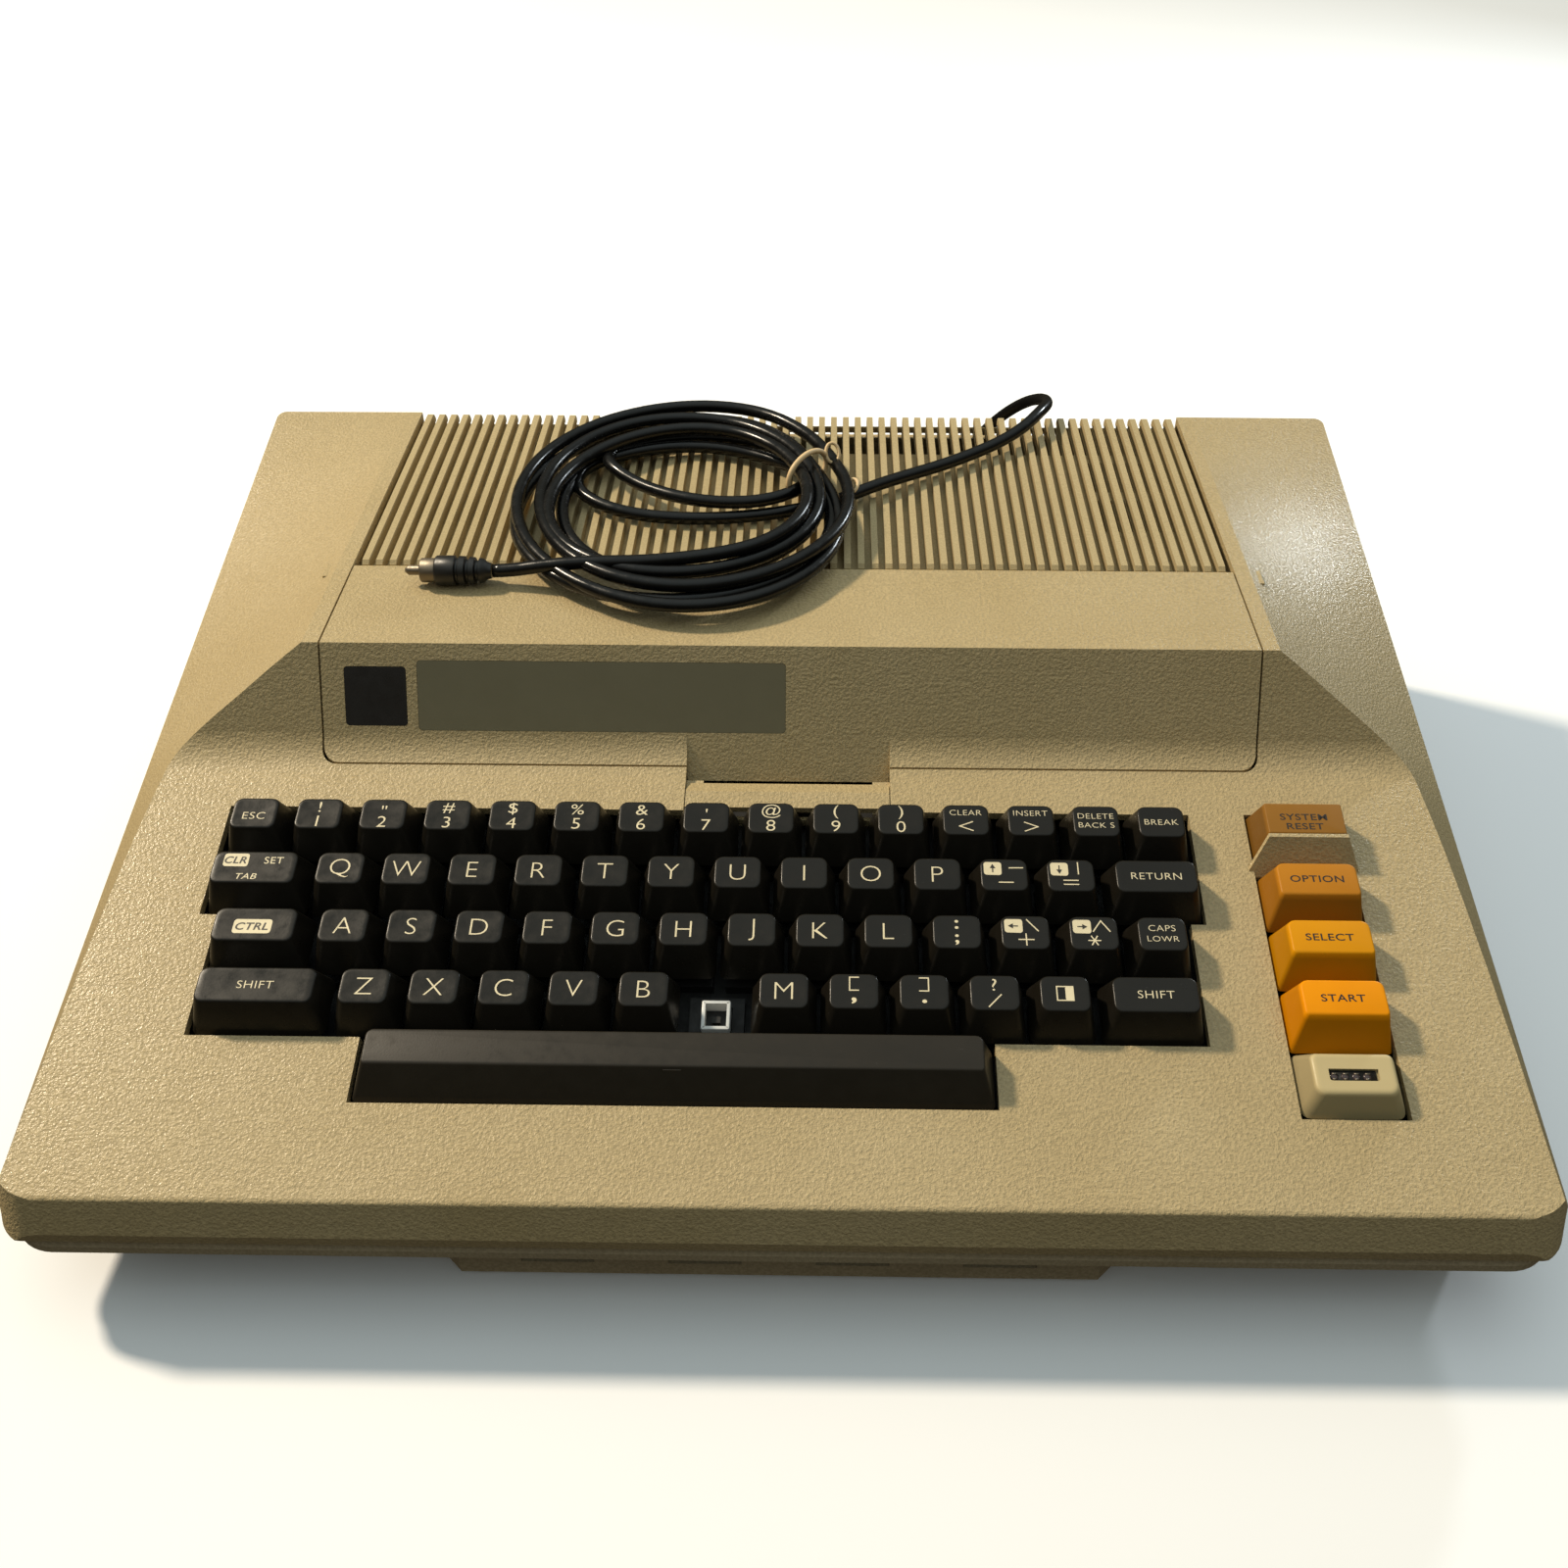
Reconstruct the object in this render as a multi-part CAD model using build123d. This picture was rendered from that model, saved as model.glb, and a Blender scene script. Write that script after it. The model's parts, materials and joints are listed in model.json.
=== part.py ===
from build123d import *
import os
from math import atan2, cos, degrees, hypot, pi, radians, sin, tan

# A home computer of about 1979: a moulded two-part housing with a full keyboard, four console
# keys, a hinged cartridge door and a finned vent cover. Lengths are in millimetres.
# The model is built with y = 0 at the front edge and z = 0 on the desk. Each piece is moved back
# by half the depth when it is written, so the origin ends up under the middle of the housing.
# Pieces on the sloping front deck use deck coordinates: x, s up the slope, h out of the deck.

# ---------------------------------------------------------------- housing
WIDTH = 411.0
DEPTH = 318.0
WALL = 3.0
DRAFT = 4.0             # degrees that every outer wall leans in
FOOT_HEIGHT = 4.0
FOOT_RADIUS = 8.0
FOOT_X = 168.0
FOOT_Y = (38.0, DEPTH - 38.0)
LIP_Z = 29.0            # lower edge of the top case
BELT_Z = 33.0           # widest line of the top case
LIP_BEVEL = 0.8
NOSE_Y = 3.0            # upper front edge
NOSE_Z = 44.4
NOSE_RADIUS = 1.5
DECK_TILT = 14.54
CORNER_RADIUS = 15.0
REAR_CORNER_RADIUS = 9.0
KNEE_Y = 150.0          # where the wings change from side wall to shoulder
EDGE_Z = (33.9, 73.1, 115.3)                # outer edge line: front, knee, rear
CREASE_X = (144.0, 149.5, 149.5)            # inner crease line: front, knee, rear
CREASE_Z = (150.6, 111.2, 114.1)
SLOPE_FOOT_S = 143.0    # the slope face meets the deck here
SLOPE_TOP_Y = 157.7
SLOPE_TOP_Z = 111.3
SLOPE_FOOT_RADIUS = 16.0
GAP = 0.6               # visible gap round doors and covers
TOUCH = 0.3             # clearance between pieces that pass each other
SLIP = 0.1              # clearance between pieces that slide in each other

# ---------------------------------------------------------------- door and vent cover
BAY_HALF = 144.5        # half width of the opening for door and vent cover
DOOR_FRONT_S = 139.3
DOOR_CORNER_RADIUS = 5.0
DOOR_REAR_Y = 204.1
HINGE_RADIUS = 2.6
PIN_RADIUS = 1.0
PIN_PLAY = 0.05
PIN_LENGTH = 18.0
PIN_IN_DOOR = 10.0
PLATE_RECESS = 0.8
SQUARE_PLATE = (7.6 - BAY_HALF, 26.8 - BAY_HALF, 7.2, 25.7)    # left, right, upper and lower edge
LONG_PLATE = (30.1 - BAY_HALF, 143.6 - BAY_HALF, 5.2, 27.0)
FIN_PITCH = 4.55
FIN_WIDTH = 2.2
FIN_COUNT = 2 * int((BAY_HALF - GAP - FIN_WIDTH) / FIN_PITCH) + 1
FIN_HEIGHT = 4.2
VENT_SHEET = 2.2
VENT_REAR_Y = 311.4
FIN_TAIL = 1.8
SLOT_LENGTH = 21.5
SLOT_PITCH = 27.5
SLOT_WIDTH = 1.9
CLOSED_GAPS = 2         # gaps without slots at each end
SHORT_GROUP = 6         # gaps that have all three rows of slots, at each end
LATCH_X = BAY_HALF - 19.5
LATCH_Y = 191.0
LATCH_SHANK = 3.0
LATCH_HEAD = 6.0
LATCH_LUG = 11.0        # half width of the lugs under the latches
VENT_FLANGE_Z = 98.0
VENT_FLANGE = 2.0

# ---------------------------------------------------------------- door latch
SLOT_HALF = 31.0        # half width of the latch opening in the deck
LATCH_TRAVEL = 1.8
LATCH_REAR_S = 134.6
LATCH_RAMP_S = 130.5
LATCH_THICK = 2.4

# ---------------------------------------------------------------- keyboard
KEY_PITCH = 19.05
KEY_BASE = 18.0
KEY_HEIGHT = 9.0        # key tops above the deck
KEY_SKIRT = 1.5         # caps reach this far under the deck surface
KEY_TOP_WIDTH = 13.3
KEY_TOP_DEPTH = 10.5
KEY_TOP_SHIFT = 1.1     # tops sit this far behind the middle of the base
KEY_CHAMFER = 1.6
KEY_WALL = 1.3
ROW_S = (113.45, 94.4, 75.35, 56.3)         # middle of the cap bases, rear row first
ROW_X = (-156.75, -127.7, -123.0, -113.6)   # middle of each row's first square cap
PLUNGER = (8.0, 9.0)
PLUNGER_TOP = -3.5
PLUNGER_BOTTOM = -12.0
PLUNGER_POCKET = 3.7
POST = (4.8, 5.8)
HOUSING = 15.4
HOUSING_TOP = -8.3
BOARD_TOP = -17.0
BOARD = 1.6
PLATE_TOP = -12.0
PLATE = 1.2
FRAME_X = (-178.0, 132.0)                   # the steel frame under the keyboard
FRAME_S = (17.5, 134.0)
FRAME_INSET = 2.0       # its circuit board is this much smaller all round
FRAME_POST = 5.0        # its screw posts stand this far in from its edges
SPACE_X = (-113.9, 57.3)
SPACE_S = (28.1, 46.1)
SPACE_TOP_S = (35.0, 45.0)
SPACE_TOP_INSET = 3.2
SPACE_HEIGHT = 8.0

# ---------------------------------------------------------------- console keys
CONSOLE_X = (137.8, 165.6)
CONSOLE_GAP = (0.5, 0.7)
CONSOLE_S = (113.2, 92.6, 73.6, 54.6)
CONSOLE_DEPTH = (19.0, 18.2, 18.2, 18.2)
CONSOLE_TOP_X = (141.0, 163.5)
CONSOLE_TOP_DEPTH = 10.4
CONSOLE_REAR_STEP = 1.3
LAMP_S = (26.6, 42.6)
LAMP_TOP_S = (30.8, 41.4)
LAMP_TOP_X = (141.2, 162.2)
LAMP_HEIGHT = 6.0
LAMP_WINDOW = (144.2, 158.2, 34.3, 37.9)
GUARD_THICK = 1.2

# ---------------------------------------------------------------- bottom case and electronics
BASE_INSET = 9.5        # side and rear walls of the bottom case stand in from the belt line
BASE_FRONT = 22.0       # its front wall
FLANGE_INSET = 1.6      # its rim under the lower edge of the top case
FLANGE = 5.6
FLANGE_BEVEL = 3.2
SEAM = 0.4
FLOOR = 2.5
SCREW_X = 184.0
SCREW_Y = (BASE_FRONT + 10.0, DEPTH - 30.0)
JOINT_Z = 30.0
BOSS_RADIUS = 6.0
POST_RADIUS = 4.2
SCREW_RADIUS = 1.5
HEAD_RADIUS = 3.2
HEAD_HEIGHT = 2.4
HEAD_Z = 14.0           # the bosses carry the screw heads here
SCREW_BITE = 8.0
PORT_X = 40.0
PORT_COUNT = 4
PORT_Z = 15.0
PORT_PANEL_HALF = 87.0
PORT_PANEL_Y = 10.0
JACK_DEPTH = 10.0
JACK_RECESS = 1.5       # sockets stand this far behind the face of their panel
SHIELD_X = (-150.0, 104.0)
SHIELD_Y = (148.0, DEPTH - 14.0)
SHIELD_WALL = 2.5
SHIELD_JOINT_Z = 17.0
SHIELD_TOP_Z = 62.0
MAIN_BOARD_Z = 12.0
SLOT_X = (-72.0, 32.0)
SLOT_Y = 178.0
CARTRIDGE = (70.0, 21.0)
GUIDE_WALL = 2.0
GUIDE_Z = (31.0, 78.0)
BAY_Z = 92.0
BAY_WALL = 2.0
BAY_Y = (SLOT_Y - 14.0, SLOT_Y + 18.0)
INTERLOCK = (13.5 - BAY_HALF, 180.0)
INTERLOCK_RADIUS = 2.0
MODULE_PITCH = 21.0
MODULE_COUNT = 4
MODULE_SIZE = (126.0, 14.0, 80.0)
MODULE_FIRST_Y = DEPTH - 97.0
MODULE_X = -30.0
PROCESSOR_X = 80.0
PROCESSOR_Y = (DEPTH - 98.0, DEPTH - 28.0)
PROCESSOR_Z = 86.0
SPEAKER = (-150.0, 76.0)
SIDE_Z = 15.0
SERIAL_Y = 92.0
MONITOR_Y = 135.0
CHANNEL_Y = 163.0
POWER_Y = 192.0
SUPPLY_Y = 222.0
ROCKER_ANGLE = 8.0
CHANNEL_TRAVEL = 4.0

# ---------------------------------------------------------------- antenna cable
CABLE = 4.4
EXIT_X = 60.0
EXIT_Z = 45.0
RELIEF_LENGTH = 18.0
COIL_CENTRE = (-34.0, 236.0)
COIL_OUTER = (61.0, 71.0)
COIL_INNER = (34.0, 40.0)
COIL_HEIGHT = 17.0
COIL_Z = 114.4
PLUG_X = -96.0
PLUG_Y = 191.3
PLUG_RADIUS = 4.9
REAR_RUN = [
    (60, 335, 45), (60, 345.5, 45), (61, 353.5, 52), (64, 356, 64.5), (69, 353.5, 78.5),
    (76, 347.5, 91.5), (83.5, 341, 102.5), (90.5, 334, 110.5), (95, 325, 115.5), (95.5, 314.5, 118.5),
    (91, 303, 120.5), (84.5, 292.5, 119.5), (75.5, 283.5, 118), (64, 274.8, 117), (51.5, 266, 116.6),
    (39, 258, 116.8), (27, 249.2, 117.2),
]
PLUG_RUN = [(-95.6, 191.3, 116.9), (-90.5, 191, 116.3), (-85.5, 189.8, 115.7), (-81.6, 187.8, 115.6)]

TILT = radians(DECK_TILT)
DECK = Plane(origin=(0, NOSE_Y, NOSE_Z), x_dir=(1, 0, 0), z_dir=(0, -sin(TILT), cos(TILT)))
KEYS_REAR_S = ROW_S[0] + KEY_BASE / 2
KEY_GAP = 0.85


def write(node, shape):
    """Move a finished piece into the final frame and write its file."""
    pieces = shape if isinstance(shape, list) else [shape]
    solids = [solid for piece in pieces for solid in piece.solids()]
    placed = [Pos(0, -DEPTH / 2, 0) * solid for solid in solids]
    export_step(Compound(children=placed), f"parts/{node}.step")


def block(x, y, z):
    """A rectangular block between two limits on each axis."""
    size = Box(x[1] - x[0], y[1] - y[0], z[1] - z[0])
    return Pos((x[0] + x[1]) / 2, (y[0] + y[1]) / 2, (z[0] + z[1]) / 2) * size


def along_x(points, x):
    """A profile of (y, z) points drawn out along X."""
    face = Pos(x[0], 0, 0) * (Plane.YZ * Polygon(*points, align=None))
    return extrude(face, amount=x[1] - x[0], dir=(1, 0, 0))


def along_y(points, y):
    """A profile of (x, z) points drawn out along Y."""
    face = Plane(origin=(0, y[0], 0), x_dir=(1, 0, 0), z_dir=(0, -1, 0)) * Polygon(*points, align=None)
    return extrude(face, amount=y[1] - y[0], dir=(0, 1, 0))


def upright(radius, x, y, z):
    """A vertical cylinder between two heights."""
    return Pos(x, y, (z[0] + z[1]) / 2) * Cylinder(radius, z[1] - z[0])


def on_deck(shape):
    """Place a shape that was drawn in deck coordinates."""
    return DECK.location * shape


def roof_z(y):
    """Height of the level top between the creases, behind the knee."""
    return CREASE_Z[1] + (y - KNEE_Y) * (CREASE_Z[2] - CREASE_Z[1]) / (DEPTH - KNEE_Y)


def wall_half(z):
    """Half width of the housing at a height."""
    return WIDTH / 2 - (z - BELT_Z) * tan(radians(DRAFT))


def slope_point(down):
    """A (y, z) point on the slope face, a distance down from its top edge."""
    foot_y = NOSE_Y + SLOPE_FOOT_S * cos(TILT)
    foot_z = NOSE_Z + SLOPE_FOOT_S * sin(TILT)
    length = hypot(SLOPE_TOP_Y - foot_y, SLOPE_TOP_Z - foot_z)
    share = down / length
    return SLOPE_TOP_Y + (foot_y - SLOPE_TOP_Y) * share, SLOPE_TOP_Z + (foot_z - SLOPE_TOP_Z) * share


SLOPE_LENGTH = hypot(SLOPE_TOP_Y - NOSE_Y - SLOPE_FOOT_S * cos(TILT),
                     SLOPE_TOP_Z - NOSE_Z - SLOPE_FOOT_S * sin(TILT))
HINGE_Y = DOOR_REAR_Y - GAP / 2 - HINGE_RADIUS
HINGE_Z = roof_z(HINGE_Y) - HINGE_RADIUS


# ================================================================ housing form
def roof(inset):
    """Everything under the level top and the two twisted wings, moved in by inset."""
    sections = []
    for y, edge_z, crease_x, crease_z in zip((0, KNEE_Y, DEPTH), EDGE_Z, CREASE_X, CREASE_Z):
        edge_x = wall_half(edge_z)
        lean = atan2(crease_z - edge_z, edge_x - crease_x)
        reach = edge_x + WALL * 3
        low_z = edge_z - (reach - edge_x) * tan(lean) - inset / cos(lean)
        top_x = crease_x - inset * tan(lean / 2)
        top_z = crease_z - inset
        points = [
            (-reach, -WIDTH), (reach, -WIDTH), (reach, low_z),
            (top_x, top_z), (-top_x, top_z), (-reach, low_z),
        ]
        plane = Plane(origin=(0, y, 0), x_dir=(1, 0, 0), z_dir=(0, -1, 0))
        sections.append(plane * Polygon(*points, align=None))
    return loft(sections, ruled=True)


def profile(inset):
    """Side profile of deck and slope face, drawn out along X and moved in by inset."""
    shift_y = -inset * sin(TILT)
    shift_z = inset * cos(TILT)
    slope = atan2(SLOPE_TOP_Z - slope_point(SLOPE_LENGTH)[1], SLOPE_TOP_Y - slope_point(SLOPE_LENGTH)[0])
    bend = slope - TILT
    foot_s = SLOPE_FOOT_S + inset * tan(bend / 2)
    foot = (NOSE_Y + foot_s * cos(TILT) - shift_y, NOSE_Z + foot_s * sin(TILT) - shift_z)
    top = (foot[0] + WIDTH * cos(slope), foot[1] + WIDTH * sin(slope))
    lean = atan2(NOSE_Z - BELT_Z, NOSE_Y)
    front_s = -inset * tan((lean - TILT) / 2)
    nose = (NOSE_Y - front_s * cos(TILT) - shift_y, NOSE_Z - front_s * sin(TILT) - shift_z)
    belt = (nose[0] - (nose[1] - BELT_Z) / tan(lean), BELT_Z)
    points = [
        (belt[0] - LIP_BEVEL * inset / WALL, -WIDTH), (belt[0] - LIP_BEVEL * inset / WALL, BELT_Z),
        belt, nose, foot, top, (2 * DEPTH, top[1]), (2 * DEPTH, -WIDTH),
    ]
    if inset == 0:
        points[0] = (-DEPTH, -WIDTH)
        points[1] = (-DEPTH, BELT_Z)
    solid = along_x(points, (-WIDTH, WIDTH))
    edges = solid.edges().filter_by(Axis.X)
    concave = [e for e in edges if hypot(e.center().Y - foot[0], e.center().Z - foot[1]) < SLIP]
    solid = fillet(concave, SLOPE_FOOT_RADIUS + inset)
    if inset == 0:
        edges = solid.edges().filter_by(Axis.X)
        solid = fillet([e for e in edges if hypot(e.center().Y - NOSE_Y, e.center().Z - NOSE_Z) < SLIP],
                       NOSE_RADIUS)
    return solid


def corner_mask(inset):
    """Rounds the two front corners with the lean of the front and side faces."""
    def outline(z, front):
        plane = Plane((0, front + inset + DEPTH, z))
        return plane * RectangleRounded(2 * (wall_half(z) + SLIP - inset), 2 * DEPTH, CORNER_RADIUS - inset)

    rise = NOSE_Z - BELT_Z
    mask = loft([outline(BELT_Z - rise, -NOSE_Y), outline(BELT_Z + 2 * rise, 2 * NOSE_Y)], ruled=True)
    behind = block((-WIDTH, WIDTH), (2 * CORNER_RADIUS, 2 * DEPTH), (0, 2 * WIDTH))
    return mask + behind


def shell_body(inset):
    """Outer walls with draft above the belt line and the bevel below it."""
    def outline(radius):
        plane = Plane((0, DEPTH / 2, BELT_Z))
        return plane * RectangleRounded(WIDTH - 2 * inset, DEPTH - 2 * inset, radius)

    upper = extrude(outline(REAR_CORNER_RADIUS - inset), amount=WIDTH / 3, taper=DRAFT)
    if inset:
        lower = extrude(outline(REAR_CORNER_RADIUS - inset), amount=-BELT_Z)
    else:
        bevel = degrees(atan2(LIP_BEVEL, BELT_Z - LIP_Z))
        lower = extrude(outline(REAR_CORNER_RADIUS), amount=LIP_Z - BELT_Z, taper=bevel)
    return upper + lower


def housing_form(inset):
    """The form of the whole top: inset 0 is the outside, inset WALL the inside."""
    return shell_body(inset) & roof(inset) & profile(inset)


def door_zone(gap):
    """The space of door and, further back, vent cover, seen square to the deck."""
    half = BAY_HALF - gap
    front = DOOR_FRONT_S + gap
    length = DEPTH
    sheet = Pos(0, front + length / 2) * RectangleRounded(2 * half, length, DOOR_CORNER_RADIUS)
    return on_deck(Pos(0, 0, -WALL * 4) * extrude(sheet, amount=WIDTH))


def latch_opening():
    """Cut through the deck between keyboard and door."""
    return on_deck(block((-SLOT_HALF - GAP / 2, SLOT_HALF + GAP / 2),
                         (KEYS_REAR_S, SLOPE_FOOT_S + WALL), (-2 * WALL, 2 * WALL)))


def key_opening():
    """The stepped opening round the keyboard, in deck coordinates."""
    rear = KEYS_REAR_S + KEY_GAP
    middle = (ROW_S[1] + ROW_S[2]) / 2
    front = ROW_S[3] - KEY_BASE / 2 - KEY_GAP
    bar_front = SPACE_S[0] - KEY_GAP
    points = [
        (-168.5, rear), (120.8, rear), (120.8, middle), (116.4, middle), (116.4, front),
        (SPACE_X[1] + KEY_GAP, front), (SPACE_X[1] + KEY_GAP, bar_front),
        (SPACE_X[0] - KEY_GAP, bar_front), (SPACE_X[0] - KEY_GAP, front),
        (-163.0, front), (-163.0, middle), (-168.5, middle),
    ]
    sheet = Pos(0, 0, -3 * WALL) * Polygon(*points, align=None)
    return on_deck(extrude(sheet, amount=6 * WALL, dir=(0, 0, 1)))


def console_opening():
    """The long opening round the console keys."""
    rear = CONSOLE_S[0] + CONSOLE_DEPTH[0] / 2 + KEY_GAP
    front = LAMP_S[0] - KEY_GAP
    return on_deck(block((CONSOLE_X[0] - CONSOLE_GAP[0], CONSOLE_X[1] + CONSOLE_GAP[1]),
                         (front, rear), (-3 * WALL, 3 * WALL)))


def reset_guard():
    """The leaning wall in front of the reset key, which keeps stray fingers off."""
    foot_s = CONSOLE_S[0] - CONSOLE_DEPTH[0] / 2 - TOUCH - GUARD_THICK / 2
    lean = CONSOLE_DEPTH[0] - CONSOLE_TOP_DEPTH - CONSOLE_REAR_STEP
    middle = (CONSOLE_X[0] + CONSOLE_X[1]) / 2
    top_middle = (CONSOLE_TOP_X[0] + CONSOLE_TOP_X[1]) / 2
    wide = CONSOLE_X[1] - CONSOLE_X[0] + 2 * WALL
    narrow = CONSOLE_TOP_X[1] - CONSOLE_TOP_X[0] + GAP
    low = Pos(middle, foot_s, -KEY_SKIRT) * Rectangle(wide, GUARD_THICK)
    high = Pos(top_middle, foot_s + lean, KEY_HEIGHT) * Rectangle(narrow, GUARD_THICK)
    slab = loft([low, high], ruled=True)
    root = block((middle - wide / 2, middle + wide / 2),
                 (foot_s - GUARD_THICK / 2, foot_s + GUARD_THICK / 2), (-WALL, -KEY_SKIRT))
    return on_deck(slab + root)


# ================================================================ top case
def door_ledges():
    """Ledges under the door's lower edge, one on each side of the latch."""
    ledges = []
    for side in (-1, 1):
        inner = side * (SLOT_HALF + 5)
        outer = side * (BAY_HALF - 2)
        x = (min(inner, outer), max(inner, outer))
        shelf = block(x, (DOOR_FRONT_S - 3, DOOR_FRONT_S + 4), (-2 * WALL, -WALL - TOUCH))
        root = block(x, (DOOR_FRONT_S - 3, DOOR_FRONT_S - TOUCH), (-2 * WALL, -WALL / 2))
        ledges.append(on_deck(shelf + root))
    return ledges


def latch_rails():
    """Two rails that carry the sliding latch, and the bar that its spring pushes on."""
    pieces = []
    front = KEYS_REAR_S + 2 * KEY_GAP
    for side in (-1, 1):
        inner = side * (SLOT_HALF - 5)
        outer = side * (SLOT_HALF + 4)
        rail_x = (min(inner, outer), max(inner, outer))
        root_x = (min(outer, side * (SLOT_HALF + 1)), max(outer, side * (SLOT_HALF + 1)))
        pieces.append(on_deck(block(rail_x, (front, DOOR_FRONT_S - 3), (-2 * WALL, -LATCH_THICK - SLIP))))
        pieces.append(on_deck(block(root_x, (front, DOOR_FRONT_S - 3), (-WALL, -WALL / 2))))
    bar = block((-SLOT_HALF, SLOT_HALF), (front, front + 1.2), (-3 * WALL, -2 * WALL + SLIP))
    return pieces + [on_deck(bar)]


def vent_ledge(side):
    """The angle under each side of the vent cover, hung from the wing."""
    web = BAY_HALF + GAP
    top = roof_z(DOOR_REAR_Y) - FIN_HEIGHT - VENT_SHEET
    points = [
        (side * (web + 2.5), top + 2 * WALL), (side * web, top + 2 * WALL), (side * web, top),
        (side * (BAY_HALF - 3), top), (side * (BAY_HALF - 3), top - 2), (side * (web + 2.5), top - 2),
    ]
    return along_y(points, (DOOR_REAR_Y + 2, VENT_REAR_Y))


def hinge_block(side):
    """The block beside the door that holds the hinge pin."""
    inner = side * (BAY_HALF + GAP / 2)
    outer = side * (BAY_HALF + PIN_LENGTH - PIN_IN_DOOR + 1)
    half = 3 * HINGE_RADIUS / 2
    return block((min(inner, outer), max(inner, outer)), (HINGE_Y - half, HINGE_Y + half),
                 (HINGE_Z - half, HINGE_Z + HINGE_RADIUS / 2))


def hinge_pin(side, radius, extra):
    """A stub pin, or with extra the bore for it."""
    inner = side * (BAY_HALF - GAP - PIN_IN_DOOR - extra)
    outer = side * (BAY_HALF + PIN_LENGTH - PIN_IN_DOOR)
    length = abs(outer - inner)
    return Pos((inner + outer) / 2, HINGE_Y, HINGE_Z) * Rot(0, 90, 0) * Cylinder(radius, length)


def screw_places():
    return [(side * SCREW_X, y) for side in (-1, 1) for y in SCREW_Y]


def plate_post_places():
    """Where the keyboard frame is screwed to the top case, in deck coordinates."""
    left, right = FRAME_X[0] + FRAME_POST, FRAME_X[1] - FRAME_POST
    front, rear = FRAME_S[0] + FRAME_POST, FRAME_S[1] - FRAME_POST
    middle = (SPACE_X[0] + SPACE_X[1]) / 2
    return [(left, front), (left, rear), (right, front), (right, rear), (middle, front)]


def top_case():
    outer = housing_form(0) & corner_mask(0)
    shell = outer - (housing_form(WALL) & corner_mask(WALL))
    shell -= block((-WIDTH, WIDTH), (-DEPTH, 2 * DEPTH), (-WIDTH, LIP_Z))
    vent_y = (DOOR_REAR_Y - DOOR_CORNER_RADIUS, 2 * DEPTH)
    vent_z = (roof_z(DOOR_REAR_Y) - FIN_HEIGHT - VENT_SHEET, WIDTH)
    shell -= door_zone(0) & block((-WIDTH, WIDTH), (0, DOOR_REAR_Y), (0, WIDTH))
    shell -= block((-BAY_HALF, BAY_HALF), vent_y, vent_z)
    shell -= key_opening()
    shell -= console_opening()
    shell -= latch_opening()
    shell += reset_guard()
    shell += door_ledges() + latch_rails()
    for side in (-1, 1):
        shell += vent_ledge(side)
        shell += hinge_block(side)
        shell -= hinge_pin(side, PIN_RADIUS, 0)
    posts = [upright(POST_RADIUS, x, y, (JOINT_Z, WIDTH / 2)) for x, y in screw_places()]
    for x, s in plate_post_places():
        posts.append(on_deck(Pos(x, s, (PLATE_TOP + WALL) / 2) * Cylinder(3, -PLATE_TOP + WALL)))
    inside = outer & block((-WIDTH, WIDTH), (-DEPTH, 2 * DEPTH), (LIP_Z, WIDTH))
    for post in posts:
        shell += post & inside
    for x, y in screw_places():
        shell -= upright(SCREW_RADIUS, x, y, (JOINT_Z, JOINT_Z + SCREW_BITE))
    shell -= Pos(EXIT_X, DEPTH, EXIT_Z) * Rot(90, 0, 0) * Cylinder(CABLE + SLIP, 4 * WALL)
    return shell


# ================================================================ bottom case
def base_outline(inset, front, z, radius):
    """Outline of the bottom case: in from the sides and rear by inset, and from the front by front."""
    plane = Plane((0, (front + DEPTH - inset) / 2, z))
    return plane * RectangleRounded(WIDTH - 2 * inset, DEPTH - inset - front, radius)


def base_rim(z):
    """The rim under the top case, bevelled so that the seam shows as a groove."""
    inset = FLANGE_INSET
    radius = CORNER_RADIUS - inset
    straight = FLANGE - FLANGE_BEVEL
    lean = degrees(atan2(inset, FLANGE_BEVEL))
    rim = extrude(base_outline(inset, inset, z, radius), amount=straight)
    return rim + extrude(base_outline(inset, inset, z + straight, radius), amount=FLANGE_BEVEL, taper=lean)


def port_bump(front, z, inset):
    """The controller port panel that stands forward of the front wall."""
    half = PORT_PANEL_HALF - inset
    rear = BASE_FRONT + WALL
    foot = half + rear - front + inset
    points = [(-foot, rear), (-half, front), (half, front), (foot, rear)]
    face = Plane((0, 0, z[0])) * Polygon(*points, align=None)
    return extrude(face, amount=z[1] - z[0])


def side_openings():
    """Holes in the right wall for the jacks and switches."""
    x = WIDTH / 2 - BASE_INSET - WALL / 2
    across = Rot(0, 90, 0)
    return [
        block((x - WALL, x + WALL), (SERIAL_Y - 19, SERIAL_Y + 19), (SIDE_Z - 5.5, SIDE_Z + 5.5)),
        Pos(x, MONITOR_Y, SIDE_Z) * across * Cylinder(7.6, 2 * WALL),
        block((x - WALL, x + WALL), (CHANNEL_Y - 6, CHANNEL_Y + 6), (SIDE_Z - 3, SIDE_Z + 3)),
        block((x - WALL, x + WALL), (POWER_Y - 10.2, POWER_Y + 10.2), (SIDE_Z - 6.8, SIDE_Z + 6.8)),
        Pos(x, SUPPLY_Y, SIDE_Z) * across * Cylinder(5.2, 2 * WALL),
    ]


def port_places():
    return [(i - (PORT_COUNT - 1) / 2) * PORT_X for i in range(PORT_COUNT)]


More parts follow.
